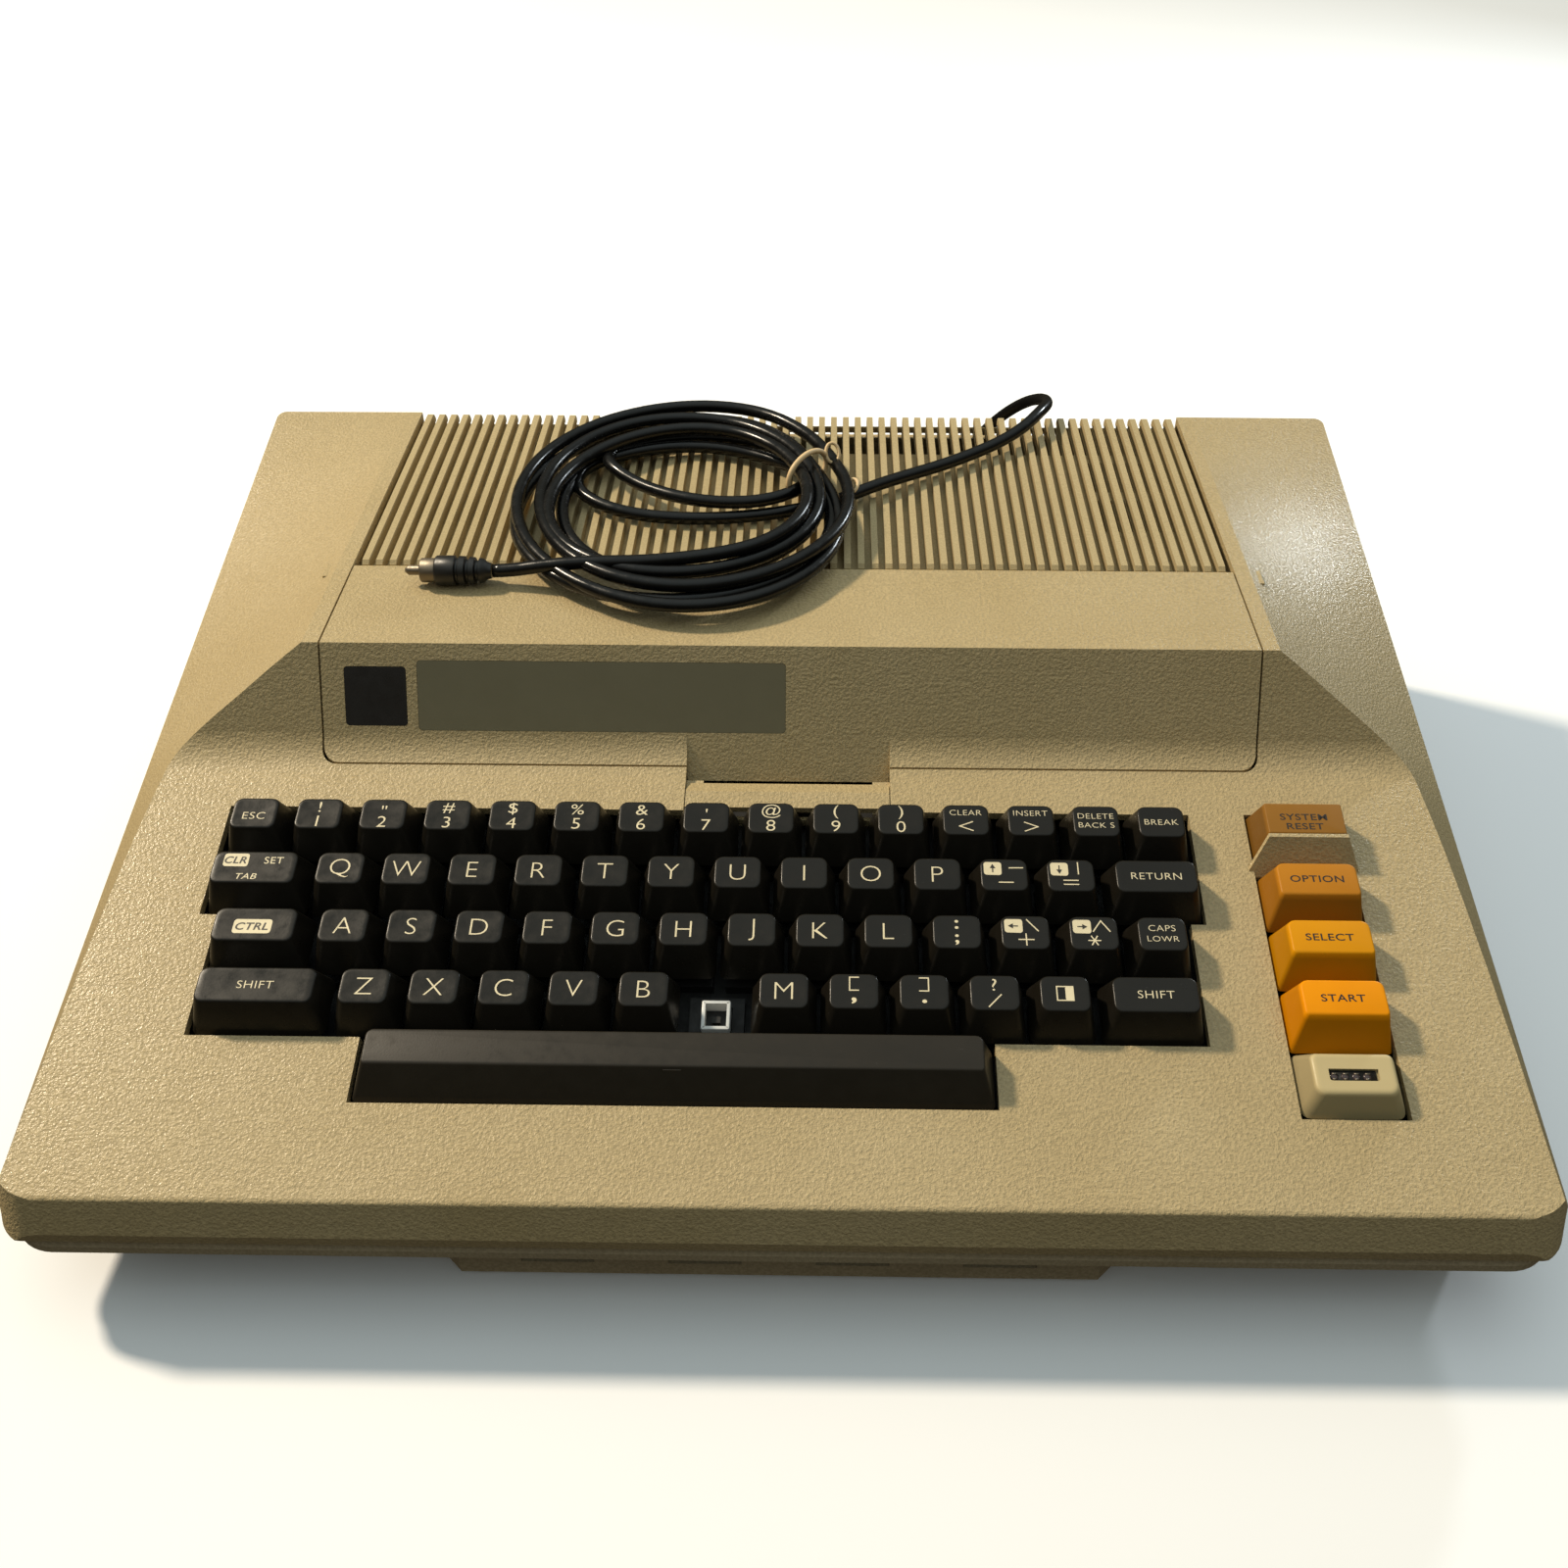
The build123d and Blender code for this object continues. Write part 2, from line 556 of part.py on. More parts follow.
def bottom_case():
    top_z = LIP_Z - SEAM
    walls_z = top_z - FLANGE
    floor_z = FOOT_HEIGHT + FLOOR
    outline = base_outline(BASE_INSET, BASE_FRONT, FOOT_HEIGHT, CORNER_RADIUS)
    tray = extrude(outline, amount=top_z - FOOT_HEIGHT)
    tray += port_bump(PORT_PANEL_Y, (FOOT_HEIGHT, walls_z + SLIP), 0)
    tray += base_rim(walls_z)
    tray -= extrude(base_outline(BASE_INSET + FLOOR, BASE_FRONT + FLOOR, floor_z, CORNER_RADIUS - FLOOR),
                    amount=WIDTH)
    tray -= port_bump(PORT_PANEL_Y + FLOOR, (floor_z, walls_z), FLOOR / 2)
    rim_inset = FLANGE_INSET + 2 * FLOOR
    tray -= extrude(base_outline(rim_inset, rim_inset, walls_z + FLOOR, CORNER_RADIUS - rim_inset),
                    amount=WIDTH)
    tray -= side_openings()
    for x in port_places():
        tray -= block((x - 10, x + 10), (0, PORT_PANEL_Y + 2 * FLOOR), (PORT_Z - 6, PORT_Z + 6))
    for x, y in screw_places():
        tray += upright(BOSS_RADIUS, x, y, (FOOT_HEIGHT, JOINT_Z))
        tray -= upright(SCREW_RADIUS + 2 * SLIP, x, y, (0, JOINT_Z))
        tray -= upright(HEAD_RADIUS + TOUCH, x, y, (0, HEAD_Z))
    louvre = block((-40, 40), (-0.9, 0.9), (0, FOOT_HEIGHT + 2 * FLOOR))
    tray -= [Pos(-90, y, 0) * louvre for y in range(180, 281, 10)]
    return tray


def feet():
    pad = Cylinder(FOOT_RADIUS, FOOT_HEIGHT)
    pad = chamfer(pad.edges().sort_by(Axis.Z)[0], 0.8)
    return [Pos(side * FOOT_X, y, FOOT_HEIGHT / 2) * pad for side in (-1, 1) for y in FOOT_Y]


def case_screws():
    screws = []
    for x, y in screw_places():
        head = upright(HEAD_RADIUS, x, y, (HEAD_Z - HEAD_HEIGHT, HEAD_Z))
        screws.append(head + upright(SCREW_RADIUS, x, y, (HEAD_Z, JOINT_Z + SCREW_BITE)))
    return screws


# ================================================================ door
def slope_recess(limits, depth):
    """A rectangular pocket, or plate, square to the slope face."""
    left, right, upper, lower = limits
    y, z = slope_point((upper + lower) / 2)
    top_y, top_z = slope_point(0)
    lean = degrees(atan2(top_z - z, top_y - y))
    plate = Box(right - left, lower - upper, 2 * depth)
    plate = fillet(plate.edges().filter_by(Axis.Z), 1.2)
    return Pos((left + right) / 2, y, z) * Rot(lean, 0, 0) * plate


def slope_plate(limits):
    """The bare plate that fills a pocket, flush with the slope face."""
    left, right, upper, lower = limits
    pocket = slope_recess((left + SLIP, right - SLIP, upper + SLIP, lower - SLIP), PLATE_RECESS)
    return pocket & slope_slab()


def slope_slab():
    """Everything on the inner side of the slope face."""
    high = slope_point(-SLOPE_LENGTH)
    low = slope_point(2 * SLOPE_LENGTH)
    return along_x([high, low, (DEPTH, low[1]), (DEPTH, high[1])], (-WIDTH, WIDTH))


def finger_panel():
    """The middle of the door's front, where the slope face runs straight down behind the latch."""
    half = SLOT_HALF + GAP / 2
    run = 7.0
    low_y, low_z = slope_point(SLOPE_LENGTH + run)
    high_y, high_z = slope_point(SLOPE_LENGTH - 3 * run)
    thick = WALL / sin(atan2(high_z - low_z, high_y - low_y))
    points = [(low_y, low_z), (low_y + thick, low_z), (high_y + thick, high_z), (high_y, high_z)]
    return along_x(points, (-half, half))


def cartridge_door():
    panel = (housing_form(0) - housing_form(WALL)) & door_zone(GAP)
    panel &= block((-WIDTH, WIDTH), (0, HINGE_Y), (0, WIDTH))
    cut = SLOT_HALF + GAP / 2
    in_front = along_x([slope_point(-SLOPE_LENGTH), slope_point(2 * SLOPE_LENGTH), (0, 0), (0, WIDTH / 2)],
                       (-cut, cut))
    panel -= in_front
    panel += finger_panel()
    half = BAY_HALF - GAP
    panel += Pos(0, HINGE_Y, HINGE_Z) * Rot(0, 90, 0) * Cylinder(HINGE_RADIUS, 2 * half)
    for side in (-1, 1):
        rib_x = (side * (half - 4), side * (half - 6))
        rib = block((min(rib_x), max(rib_x)), (SLOPE_TOP_Y + 5, HINGE_Y), (HINGE_Z - 4, HINGE_Z + 1))
        panel += rib
        panel -= hinge_pin(side, PIN_RADIUS + PIN_PLAY, SLIP)
    x, y = INTERLOCK
    panel += block((x - 3, x + 3), (y - 3, y + 3), (HINGE_Z - 5, HINGE_Z + 1))
    panel -= slope_recess(SQUARE_PLATE, PLATE_RECESS)
    panel -= slope_recess(LONG_PLATE, PLATE_RECESS)
    return panel


def door_latch():
    """The sliding tab, flush with the deck, with a ramp at its rear and a leg for its spring."""
    front = KEYS_REAR_S + TOUCH + LATCH_TRAVEL
    ramp_low = -LATCH_THICK + 0.9
    points = [
        (front, -LATCH_THICK), (LATCH_REAR_S, -LATCH_THICK), (LATCH_REAR_S, ramp_low),
        (LATCH_RAMP_S, 0), (front, 0),
    ]
    tab = along_x(points, (-SLOT_HALF, SLOT_HALF))
    tab += block((-12, 12), (LATCH_REAR_S - 2.4, LATCH_REAR_S - 0.6), (-3 * WALL, -LATCH_THICK + SLIP))
    return on_deck(tab)


def latch_spring():
    """A bowed leaf between the bar on the case and the latch's leg."""
    front = KEYS_REAR_S + 2 * KEY_GAP + 1.2
    rear = LATCH_REAR_S - 2.4
    arc = ThreePointArc((-10, rear - 0.5), (0, front + 0.5), (10, rear - 0.5))
    leaf = extrude(make_face(offset(arc, 0.25)), amount=3)
    return on_deck(Pos(0, 0, -3 * WALL + 0.4) * leaf)


# ================================================================ vent cover
def vent_comb(sheet_z, top_z):
    """Cross-section of sheet and fins."""
    half = BAY_HALF - GAP
    points = [(-half, sheet_z), (-half, sheet_z + VENT_SHEET)]
    for i in range(FIN_COUNT):
        x = (i - (FIN_COUNT - 1) / 2) * FIN_PITCH
        points += [(x - FIN_WIDTH / 2, sheet_z + VENT_SHEET), (x - FIN_WIDTH / 2, top_z)]
        points += [(x + FIN_WIDTH / 2, top_z), (x + FIN_WIDTH / 2, sheet_z + VENT_SHEET)]
    return points + [(half, sheet_z + VENT_SHEET), (half, sheet_z)]


def vent_slots():
    """Slots through the sheet between the fins."""
    slots = []
    for gap in range(CLOSED_GAPS, FIN_COUNT - 1 - CLOSED_GAPS):
        x = (gap + 1 - (FIN_COUNT - 1) / 2 - 0.5) * FIN_PITCH
        from_end = min(gap, FIN_COUNT - 2 - gap) - CLOSED_GAPS
        rows = 3 if from_end < SHORT_GROUP else 1
        for row in range(rows):
            rear = VENT_REAR_Y - 0.8 - row * SLOT_PITCH
            slots.append(block((x - SLOT_WIDTH / 2, x + SLOT_WIDTH / 2), (rear - SLOT_LENGTH, rear),
                               (VENT_FLANGE_Z + 2 * VENT_FLANGE, HINGE_Z + HINGE_RADIUS)))
    return slots


def vent_cover():
    front = DOOR_REAR_Y + GAP / 2
    top_z = roof_z(front)
    sheet_z = top_z - FIN_HEIGHT - VENT_SHEET
    fall = (roof_z(VENT_REAR_Y) - top_z) / (VENT_REAR_Y - front)
    face = Plane(origin=(0, front, 0), x_dir=(1, 0, 0), z_dir=(0, -1, 0))
    comb = extrude(face * Polygon(*vent_comb(sheet_z, top_z), align=None),
                   amount=(VENT_REAR_Y + FIN_TAIL - front) * hypot(1, fall), dir=(0, 1, fall))
    rear_z = roof_z(VENT_REAR_Y)
    tail = VENT_REAR_Y + FIN_TAIL
    tail_z = rear_z - FIN_HEIGHT + 0.4
    side = along_x([
        (front - 5, sheet_z - 1), (front - 5, top_z - 6.2), (front + 1.5, top_z + 0.3),
        (front + 3, top_z + 1), (tail - 4, rear_z + 1), (tail - 1.2, rear_z - 0.9),
        (tail, rear_z - 2.6), (tail, tail_z), (VENT_REAR_Y, tail_z), (VENT_REAR_Y, sheet_z - 1),
    ], (-BAY_HALF, BAY_HALF))
    cover = comb & side
    slots = vent_slots()
    cover -= slots
    web = block((-LATCH_X - 12, LATCH_X + 12), (front, front + VENT_FLANGE), (VENT_FLANGE_Z, sheet_z + 1))
    cover += web
    for side_x in (-LATCH_X, LATCH_X):
        flange = block((side_x - 12, side_x + 12), (LATCH_Y - 8, front + VENT_FLANGE),
                       (VENT_FLANGE_Z, VENT_FLANGE_Z + VENT_FLANGE))
        cover += flange
        cover -= upright(LATCH_SHANK + SLIP, side_x, LATCH_Y, (VENT_FLANGE_Z - 1, VENT_FLANGE_Z + 3))
    return cover


def vent_latch(side):
    """A quarter-turn fastener: slotted head, shank and the cross bar under the lug."""
    x = side * LATCH_X
    head_z = VENT_FLANGE_Z + VENT_FLANGE
    lug_z = VENT_FLANGE_Z - VENT_FLANGE
    latch = upright(LATCH_HEAD, x, LATCH_Y, (head_z, head_z + 3))
    latch -= block((x - LATCH_HEAD, x + LATCH_HEAD), (LATCH_Y - 0.7, LATCH_Y + 0.7),
                   (head_z + 1.4, head_z + 4))
    latch += upright(LATCH_SHANK, x, LATCH_Y, (lug_z - 2.2, head_z))
    bar = block((x - 1.9, x + 1.9), (LATCH_Y - 6, LATCH_Y + 6), (lug_z - 2.2, lug_z - SLIP))
    return latch + bar


# ================================================================ keys
def tapered(base, top, height, foot):
    """A cap form: base and top are (x, s, width, depth), with chamfered corners."""
    def outline(place, z, chamfer_size):
        x, s, width, depth = place
        half_x = width / 2
        half_s = depth / 2
        c = chamfer_size
        points = [
            (-half_x + c, -half_s), (half_x - c, -half_s), (half_x, -half_s + c), (half_x, half_s - c),
            (half_x - c, half_s), (-half_x + c, half_s), (-half_x, half_s - c), (-half_x, -half_s + c),
        ]
        return Pos(x, s, z) * Polygon(*points, align=None)

    return loft([outline(base, foot, KEY_CHAMFER), outline(top, height, KEY_CHAMFER)], ruled=True)


def hollowed(cap, base, top, height, foot):
    """Take the inside out of a cap, leaving its walls and top."""
    inner_base = Pos(base[0], base[1], foot) * Rectangle(base[2] - 2 * KEY_WALL, base[3] - 2 * KEY_WALL)
    inner_top = Pos(top[0], top[1], height - KEY_WALL) * Rectangle(top[2] - KEY_WALL, top[3] - KEY_WALL)
    return cap - loft([inner_base, inner_top], ruled=True)


def keycap(x, s, width):
    """One cap with its post, in deck coordinates."""
    base = (x, s, width, KEY_BASE)
    top = (x, s + KEY_TOP_SHIFT, width - KEY_BASE + KEY_TOP_WIDTH, KEY_TOP_DEPTH)
    cap = hollowed(tapered(base, top, KEY_HEIGHT, -KEY_SKIRT), base, top, KEY_HEIGHT, -KEY_SKIRT)
    post_z = (PLUNGER_TOP - PLUNGER_POCKET, KEY_HEIGHT - KEY_WALL / 2)
    return cap + block((x - POST[0] / 2, x + POST[0] / 2), (s - POST[1] / 2, s + POST[1] / 2), post_z)


def plunger(x, s):
    """The square slider that the cap's post stands in."""
    body = block((x - PLUNGER[0] / 2, x + PLUNGER[0] / 2), (s - PLUNGER[1] / 2, s + PLUNGER[1] / 2),
                 (PLUNGER_BOTTOM, PLUNGER_TOP))
    play = 2 * SLIP
    return body - block((x - POST[0] / 2 - play, x + POST[0] / 2 + play),
                        (s - POST[1] / 2 - play, s + POST[1] / 2 + play),
                        (PLUNGER_TOP - PLUNGER_POCKET, PLUNGER_TOP + 1))


def key(x, s, width=KEY_BASE):
    return [on_deck(keycap(x, s, width)), on_deck(plunger(x, s))]


def row_x(row, index):
    return ROW_X[row] + index * KEY_PITCH


def wide_keys():
    """The caps wider than one square: name, row, left and right edge of the base."""
    return {
        "tab_key": (1, -166.9, -138.1),
        "return_key": (1, 92.4, 120.0),
        "control_key": (2, -161.8, -134.2),
        "shift_key_left": (3, -161.7, -125.0),
        "shift_key_right": (3, 87.6, 115.4),
    }


def single_keys():
    """The square caps that have a node of their own: name, row, place in the row."""
    return {
        "escape_key": (0, 0),
        "delete_key": (0, 13),
        "break_key": (0, 14),
        "caps_key": (2, 12),
        "symbol_key": (3, 10),
    }


def key_rows():
    """The square caps that share a node: name, row, places in the row."""
    return {
        "number_keys": (0, range(1, 13)),
        "upper_letter_keys": (1, range(0, 12)),
        "home_letter_keys": (2, range(0, 12)),
        "lower_letter_keys": (3, [0, 1, 2, 3, 4, 6, 7, 8, 9]),
    }


def bare_place():
    """The place whose cap is missing: row, place in the row."""
    return 3, 5


def key_places():
    """Every place with a switch, as x and s."""
    places = []
    for row, left, right in wide_keys().values():
        places.append(((left + right) / 2, ROW_S[row]))
    for row, index in list(single_keys().values()) + [bare_place()]:
        places.append((row_x(row, index), ROW_S[row]))
    for row, indexes in key_rows().values():
        places += [(row_x(row, index), ROW_S[row]) for index in indexes]
    places.append(((SPACE_X[0] + SPACE_X[1]) / 2, (SPACE_S[0] + SPACE_S[1]) / 2))
    return places


def space_bar():
    x = (SPACE_X[0] + SPACE_X[1]) / 2
    s = (SPACE_S[0] + SPACE_S[1]) / 2
    base = (x, s, SPACE_X[1] - SPACE_X[0], SPACE_S[1] - SPACE_S[0])
    top = (x, (SPACE_TOP_S[0] + SPACE_TOP_S[1]) / 2, base[2] - 2 * SPACE_TOP_INSET,
           SPACE_TOP_S[1] - SPACE_TOP_S[0])
    bar = hollowed(tapered(base, top, SPACE_HEIGHT, -KEY_SKIRT), base, top, SPACE_HEIGHT, -KEY_SKIRT)
    post_z = (PLUNGER_TOP - PLUNGER_POCKET, SPACE_HEIGHT - KEY_WALL / 2)
    bar += block((x - POST[0] / 2, x + POST[0] / 2), (s - POST[1] / 2, s + POST[1] / 2), post_z)
    for offset in (-3 * KEY_PITCH, 3 * KEY_PITCH):
        bar += block((x + offset - 1.5, x + offset + 1.5), (s - 1.5, s + 1.5), post_z)
    return [on_deck(bar), on_deck(plunger(x, s))]


def key_switch_housings():
    """One square switch housing under each place."""
    ring = Rectangle(HOUSING, HOUSING) - Rectangle(PLUNGER[0] + 2 * SLIP + 0.4, PLUNGER[1] + 2 * SLIP + 0.4)
    housing = extrude(ring, amount=HOUSING_TOP - BOARD_TOP)
    return [on_deck(Pos(x, s, BOARD_TOP) * housing) for x, s in key_places()]


def keyboard_plate():
    """The steel frame that the switch housings clip into."""
    plate = block(FRAME_X, FRAME_S, (PLATE_TOP - PLATE, PLATE_TOP))
    plate -= [Pos(x, s, PLATE_TOP) * Box(HOUSING + SLIP, HOUSING + SLIP, 4 * PLATE) for x, s in key_places()]
    return on_deck(plate)


def keyboard_circuit_board():
    x = (FRAME_X[0] + FRAME_INSET, FRAME_X[1] - FRAME_INSET)
    s = (FRAME_S[0] + FRAME_INSET, FRAME_S[1] - FRAME_INSET)
    return on_deck(block(x, s, (BOARD_TOP - BOARD, BOARD_TOP)))


# ================================================================ console keys
def console_cap(index):
    s = CONSOLE_S[index]
    depth = CONSOLE_DEPTH[index]
    x = (CONSOLE_X[0] + CONSOLE_X[1]) / 2
    base = (x, s, CONSOLE_X[1] - CONSOLE_X[0], depth)
    top_x = (CONSOLE_TOP_X[0] + CONSOLE_TOP_X[1]) / 2
    top_s = s + depth / 2 - CONSOLE_REAR_STEP - CONSOLE_TOP_DEPTH / 2
    top = (top_x, top_s, CONSOLE_TOP_X[1] - CONSOLE_TOP_X[0], CONSOLE_TOP_DEPTH)
    cap = hollowed(tapered(base, top, KEY_HEIGHT, -KEY_SKIRT), base, top, KEY_HEIGHT, -KEY_SKIRT)
    post_z = (PLUNGER_TOP - PLUNGER_POCKET, KEY_HEIGHT - KEY_WALL / 2)
    cap += block((x - POST[0] / 2, x + POST[0] / 2), (s - POST[1] / 2, s + POST[1] / 2), post_z)
    return [on_deck(cap), on_deck(plunger(x, s))]


def lamp_cap():
    """The low cap at the front of the row, with a window for the power light."""
    x = (CONSOLE_X[0] + CONSOLE_X[1]) / 2
    base = (x, (LAMP_S[0] + LAMP_S[1]) / 2, CONSOLE_X[1] - CONSOLE_X[0], LAMP_S[1] - LAMP_S[0])
    top = ((LAMP_TOP_X[0] + LAMP_TOP_X[1]) / 2, (LAMP_TOP_S[0] + LAMP_TOP_S[1]) / 2,
           LAMP_TOP_X[1] - LAMP_TOP_X[0], LAMP_TOP_S[1] - LAMP_TOP_S[0])
    foot = -WALL - 1
    cap = hollowed(tapered(base, top, LAMP_HEIGHT, foot), base, top, LAMP_HEIGHT, foot)
    left, right, front, rear = LAMP_WINDOW
    cap -= block((left, right), (front, rear), (0, LAMP_HEIGHT + 1))
    return on_deck(cap)


def console_switch_board():
    """The small board under the console keys, with their switches and the lamp."""
    board_x = (CONSOLE_X[0] - WALL, CONSOLE_X[1] + WALL)
    board_s = (LAMP_S[0] - WALL, CONSOLE_S[0] + CONSOLE_DEPTH[0] / 2 + 2 * WALL)
    pieces = [on_deck(block(board_x, board_s, (BOARD_TOP - BOARD, BOARD_TOP)))]
    x = (CONSOLE_X[0] + CONSOLE_X[1]) / 2
    ring = Rectangle(HOUSING, HOUSING) - Rectangle(PLUNGER[0] + 2 * SLIP + 0.4, PLUNGER[1] + 2 * SLIP + 0.4)
    housing = extrude(ring, amount=HOUSING_TOP - BOARD_TOP)
    pieces += [on_deck(Pos(x, s, BOARD_TOP) * housing) for s in CONSOLE_S]
    left, right, front, rear = LAMP_WINDOW
    lamp = block((left + TOUCH, right - TOUCH), (front + TOUCH, rear - TOUCH), (BOARD_TOP, LAMP_HEIGHT - 2))
    return pieces + [on_deck(lamp)]


# ================================================================ electronics
def shield_lower():
    z = (FOOT_HEIGHT + FLOOR, SHIELD_JOINT_Z)
    tray = block(SHIELD_X, SHIELD_Y, z)
    inner_x = (SHIELD_X[0] + SHIELD_WALL, SHIELD_X[1] - SHIELD_WALL)
    inner_y = (SHIELD_Y[0] + SHIELD_WALL, SHIELD_Y[1] - SHIELD_WALL)
    tray = fillet(tray.edges().filter_by(Axis.Z), 5)
    tray -= block(inner_x, inner_y, (z[0] + SHIELD_WALL, WIDTH))
    for x in (inner_x[0] + 6, inner_x[1] - 6):
        for y in (inner_y[0] + 6, inner_y[1] - 6):
            tray += upright(3, x, y, (z[0] + SHIELD_WALL - SLIP, MAIN_BOARD_Z))
    return tray


def shield_upper():
    """The cast cover over the main board, open for the cartridges and the memory modules."""
    z = (SHIELD_JOINT_Z, SHIELD_TOP_Z)
    cover = fillet(block(SHIELD_X, SHIELD_Y, z).edges().filter_by(Axis.Z), 5)
    cover -= block((SHIELD_X[0] + SHIELD_WALL, SHIELD_X[1] - SHIELD_WALL),
                   (SHIELD_Y[0] + SHIELD_WALL, SHIELD_Y[1] - SHIELD_WALL), (0, SHIELD_TOP_Z - SHIELD_WALL))
    for x in SLOT_X:
        half = CARTRIDGE[0] / 2 + GUIDE_WALL + 1
        depth = CARTRIDGE[1] / 2 + GUIDE_WALL + 1
        cover -= block((x - half, x + half), (SLOT_Y - depth, SLOT_Y + depth), (SHIELD_JOINT_Z, WIDTH))
    half = MODULE_SIZE[0] / 2 + 2
    last = MODULE_FIRST_Y + (MODULE_COUNT - 1) * MODULE_PITCH
    cover -= block((MODULE_X - half, MODULE_X + half),
                   (MODULE_FIRST_Y - MODULE_SIZE[1] / 2 - 2, last + MODULE_SIZE[1] / 2 + 2),
                   (SHIELD_JOINT_Z, WIDTH))
    cover -= block((PROCESSOR_X - 14, PROCESSOR_X + 18), (PROCESSOR_Y[0] - 6, PROCESSOR_Y[1] + 6),
                   (SHIELD_JOINT_Z, WIDTH))
    return cover


def mainboard():
    clear = SHIELD_WALL + 1
    board = block((SHIELD_X[0] + clear, SHIELD_X[1] - clear), (SHIELD_Y[0] + clear, SHIELD_Y[1] - clear),
                  (MAIN_BOARD_Z, MAIN_BOARD_Z + BOARD))
    chip = block((-8, 8), (-3.5, 3.5), (0, 3.5))
    chips = [Pos(x, y, MAIN_BOARD_Z + BOARD) * chip for x in (-128, 88) for y in (162, 178, 194)]
    return [board] + chips


def cartridge_sockets():
    """An upright edge connector under each cartridge guide."""
    sockets = []
    for x in SLOT_X:
        body = block((x - 33, x + 33), (SLOT_Y - 5, SLOT_Y + 5), (MAIN_BOARD_Z + BOARD, GUIDE_Z[0] - 1))
        body -= block((x - 29, x + 29), (SLOT_Y - 1.2, SLOT_Y + 1.2), (GUIDE_Z[0] - 10, GUIDE_Z[0]))
        sockets.append(body)
    return sockets


def cartridge_bay():
    """The trough under the door, open over the two guides."""
    half = BAY_HALF - 6
    bay = block((-half, half), BAY_Y, (GUIDE_Z[1] - BAY_WALL, BAY_Z))
    inner_y = (BAY_Y[0] + BAY_WALL, BAY_Y[1] - BAY_WALL)
    bay -= block((BAY_WALL - half, half - BAY_WALL), inner_y, (GUIDE_Z[1], WIDTH))
    for x in SLOT_X:
        bay -= cartridge_space(x)
    x, y = INTERLOCK
    bay += block((x - 4, x + 4), (y - 4, y + 4), (GUIDE_Z[1] - BAY_WALL, BAY_Z - 2))
    return bay - upright(INTERLOCK_RADIUS + SLIP, x, y, (GUIDE_Z[1], WIDTH))


def cartridge_space(x):
    """The room that a cartridge slides in."""
    return block((x - CARTRIDGE[0] / 2, x + CARTRIDGE[0] / 2),
                 (SLOT_Y - CARTRIDGE[1] / 2, SLOT_Y + CARTRIDGE[1] / 2), (0, WIDTH))


def cartridge_guides():
    """The shaft under the trough that leads each cartridge to its socket."""
    guides = []
    for x in SLOT_X:
        outer_x = CARTRIDGE[0] / 2 + GUIDE_WALL
        outer_y = CARTRIDGE[1] / 2 + GUIDE_WALL
        shaft = block((x - outer_x, x + outer_x), (SLOT_Y - outer_y, SLOT_Y + outer_y),
                      (GUIDE_Z[0], GUIDE_Z[1] - BAY_WALL))
        guides.append(shaft - cartridge_space(x))
    return guides


def vent_cover_lugs():
    """Brackets on the rear wall of the trough, which the vent cover's latches turn under."""
    lug_z = VENT_FLANGE_Z - VENT_FLANGE
    bracket_y = (LATCH_Y + 7.5, LATCH_Y + 10)
    lugs = []
    for x in (-LATCH_X, LATCH_X):
        wide = (x - LATCH_LUG, x + LATCH_LUG)
        bracket = block(wide, bracket_y, (GUIDE_Z[1] - BAY_WALL, VENT_FLANGE_Z))
        bracket += block(wide, (BAY_Y[1], bracket_y[1]), (GUIDE_Z[1] - BAY_WALL, BAY_Z - 2))
        bracket += block(wide, (LATCH_Y - 8, bracket_y[1]), (lug_z, VENT_FLANGE_Z))
        bracket -= upright(LATCH_SHANK + SLIP, x, LATCH_Y, (lug_z - 1, WIDTH))
        bracket -= block((x - 6.5, x + 6.5), (LATCH_Y - 2.3, LATCH_Y + 2.3), (lug_z - 1, WIDTH))
        lugs.append(bracket)
    return lugs


def interlock_button():
    """The pin that the closed door holds down, which cuts the power when the door opens."""
    pin = upright(INTERLOCK_RADIUS, *INTERLOCK, (GUIDE_Z[1] + 4, HINGE_Z - 5 - SLIP))
    return chamfer(pin.edges().sort_by(Axis.Z)[-1], 0.5)


def memory_modules():
    """Boxed plug-in boards in a row under the vent cover."""
    width, depth, height = MODULE_SIZE
    modules = []
    for i in range(MODULE_COUNT):
        y = MODULE_FIRST_Y + i * MODULE_PITCH
        z = MAIN_BOARD_Z + BOARD + 6
        box = block((MODULE_X - width / 2, MODULE_X + width / 2), (y - depth / 2, y + depth / 2),
                    (z, z + height))
        box = fillet(box.edges().filter_by(Axis.Z), 2)
        foot = block((MODULE_X - 40, MODULE_X + 40), (y - 4, y + 4), (MAIN_BOARD_Z + BOARD, z + 1))
        modules.append(box + foot)
    return modules


def processor_board():
    """The upright card beside the memory modules, in its socket."""
    foot_z = MAIN_BOARD_Z + BOARD
    rear_face = PROCESSOR_X + BOARD
    card = block((PROCESSOR_X, rear_face), PROCESSOR_Y, (foot_z + 4, PROCESSOR_Z))
    socket = block((PROCESSOR_X - 3, rear_face + 3), (PROCESSOR_Y[0] + 5, PROCESSOR_Y[1] - 5),
                   (foot_z, foot_z + 4))
    chip = block((rear_face, rear_face + 3), (PROCESSOR_Y[0] + 15, PROCESSOR_Y[1] - 15), (40, 54))
    return [card, socket, chip]


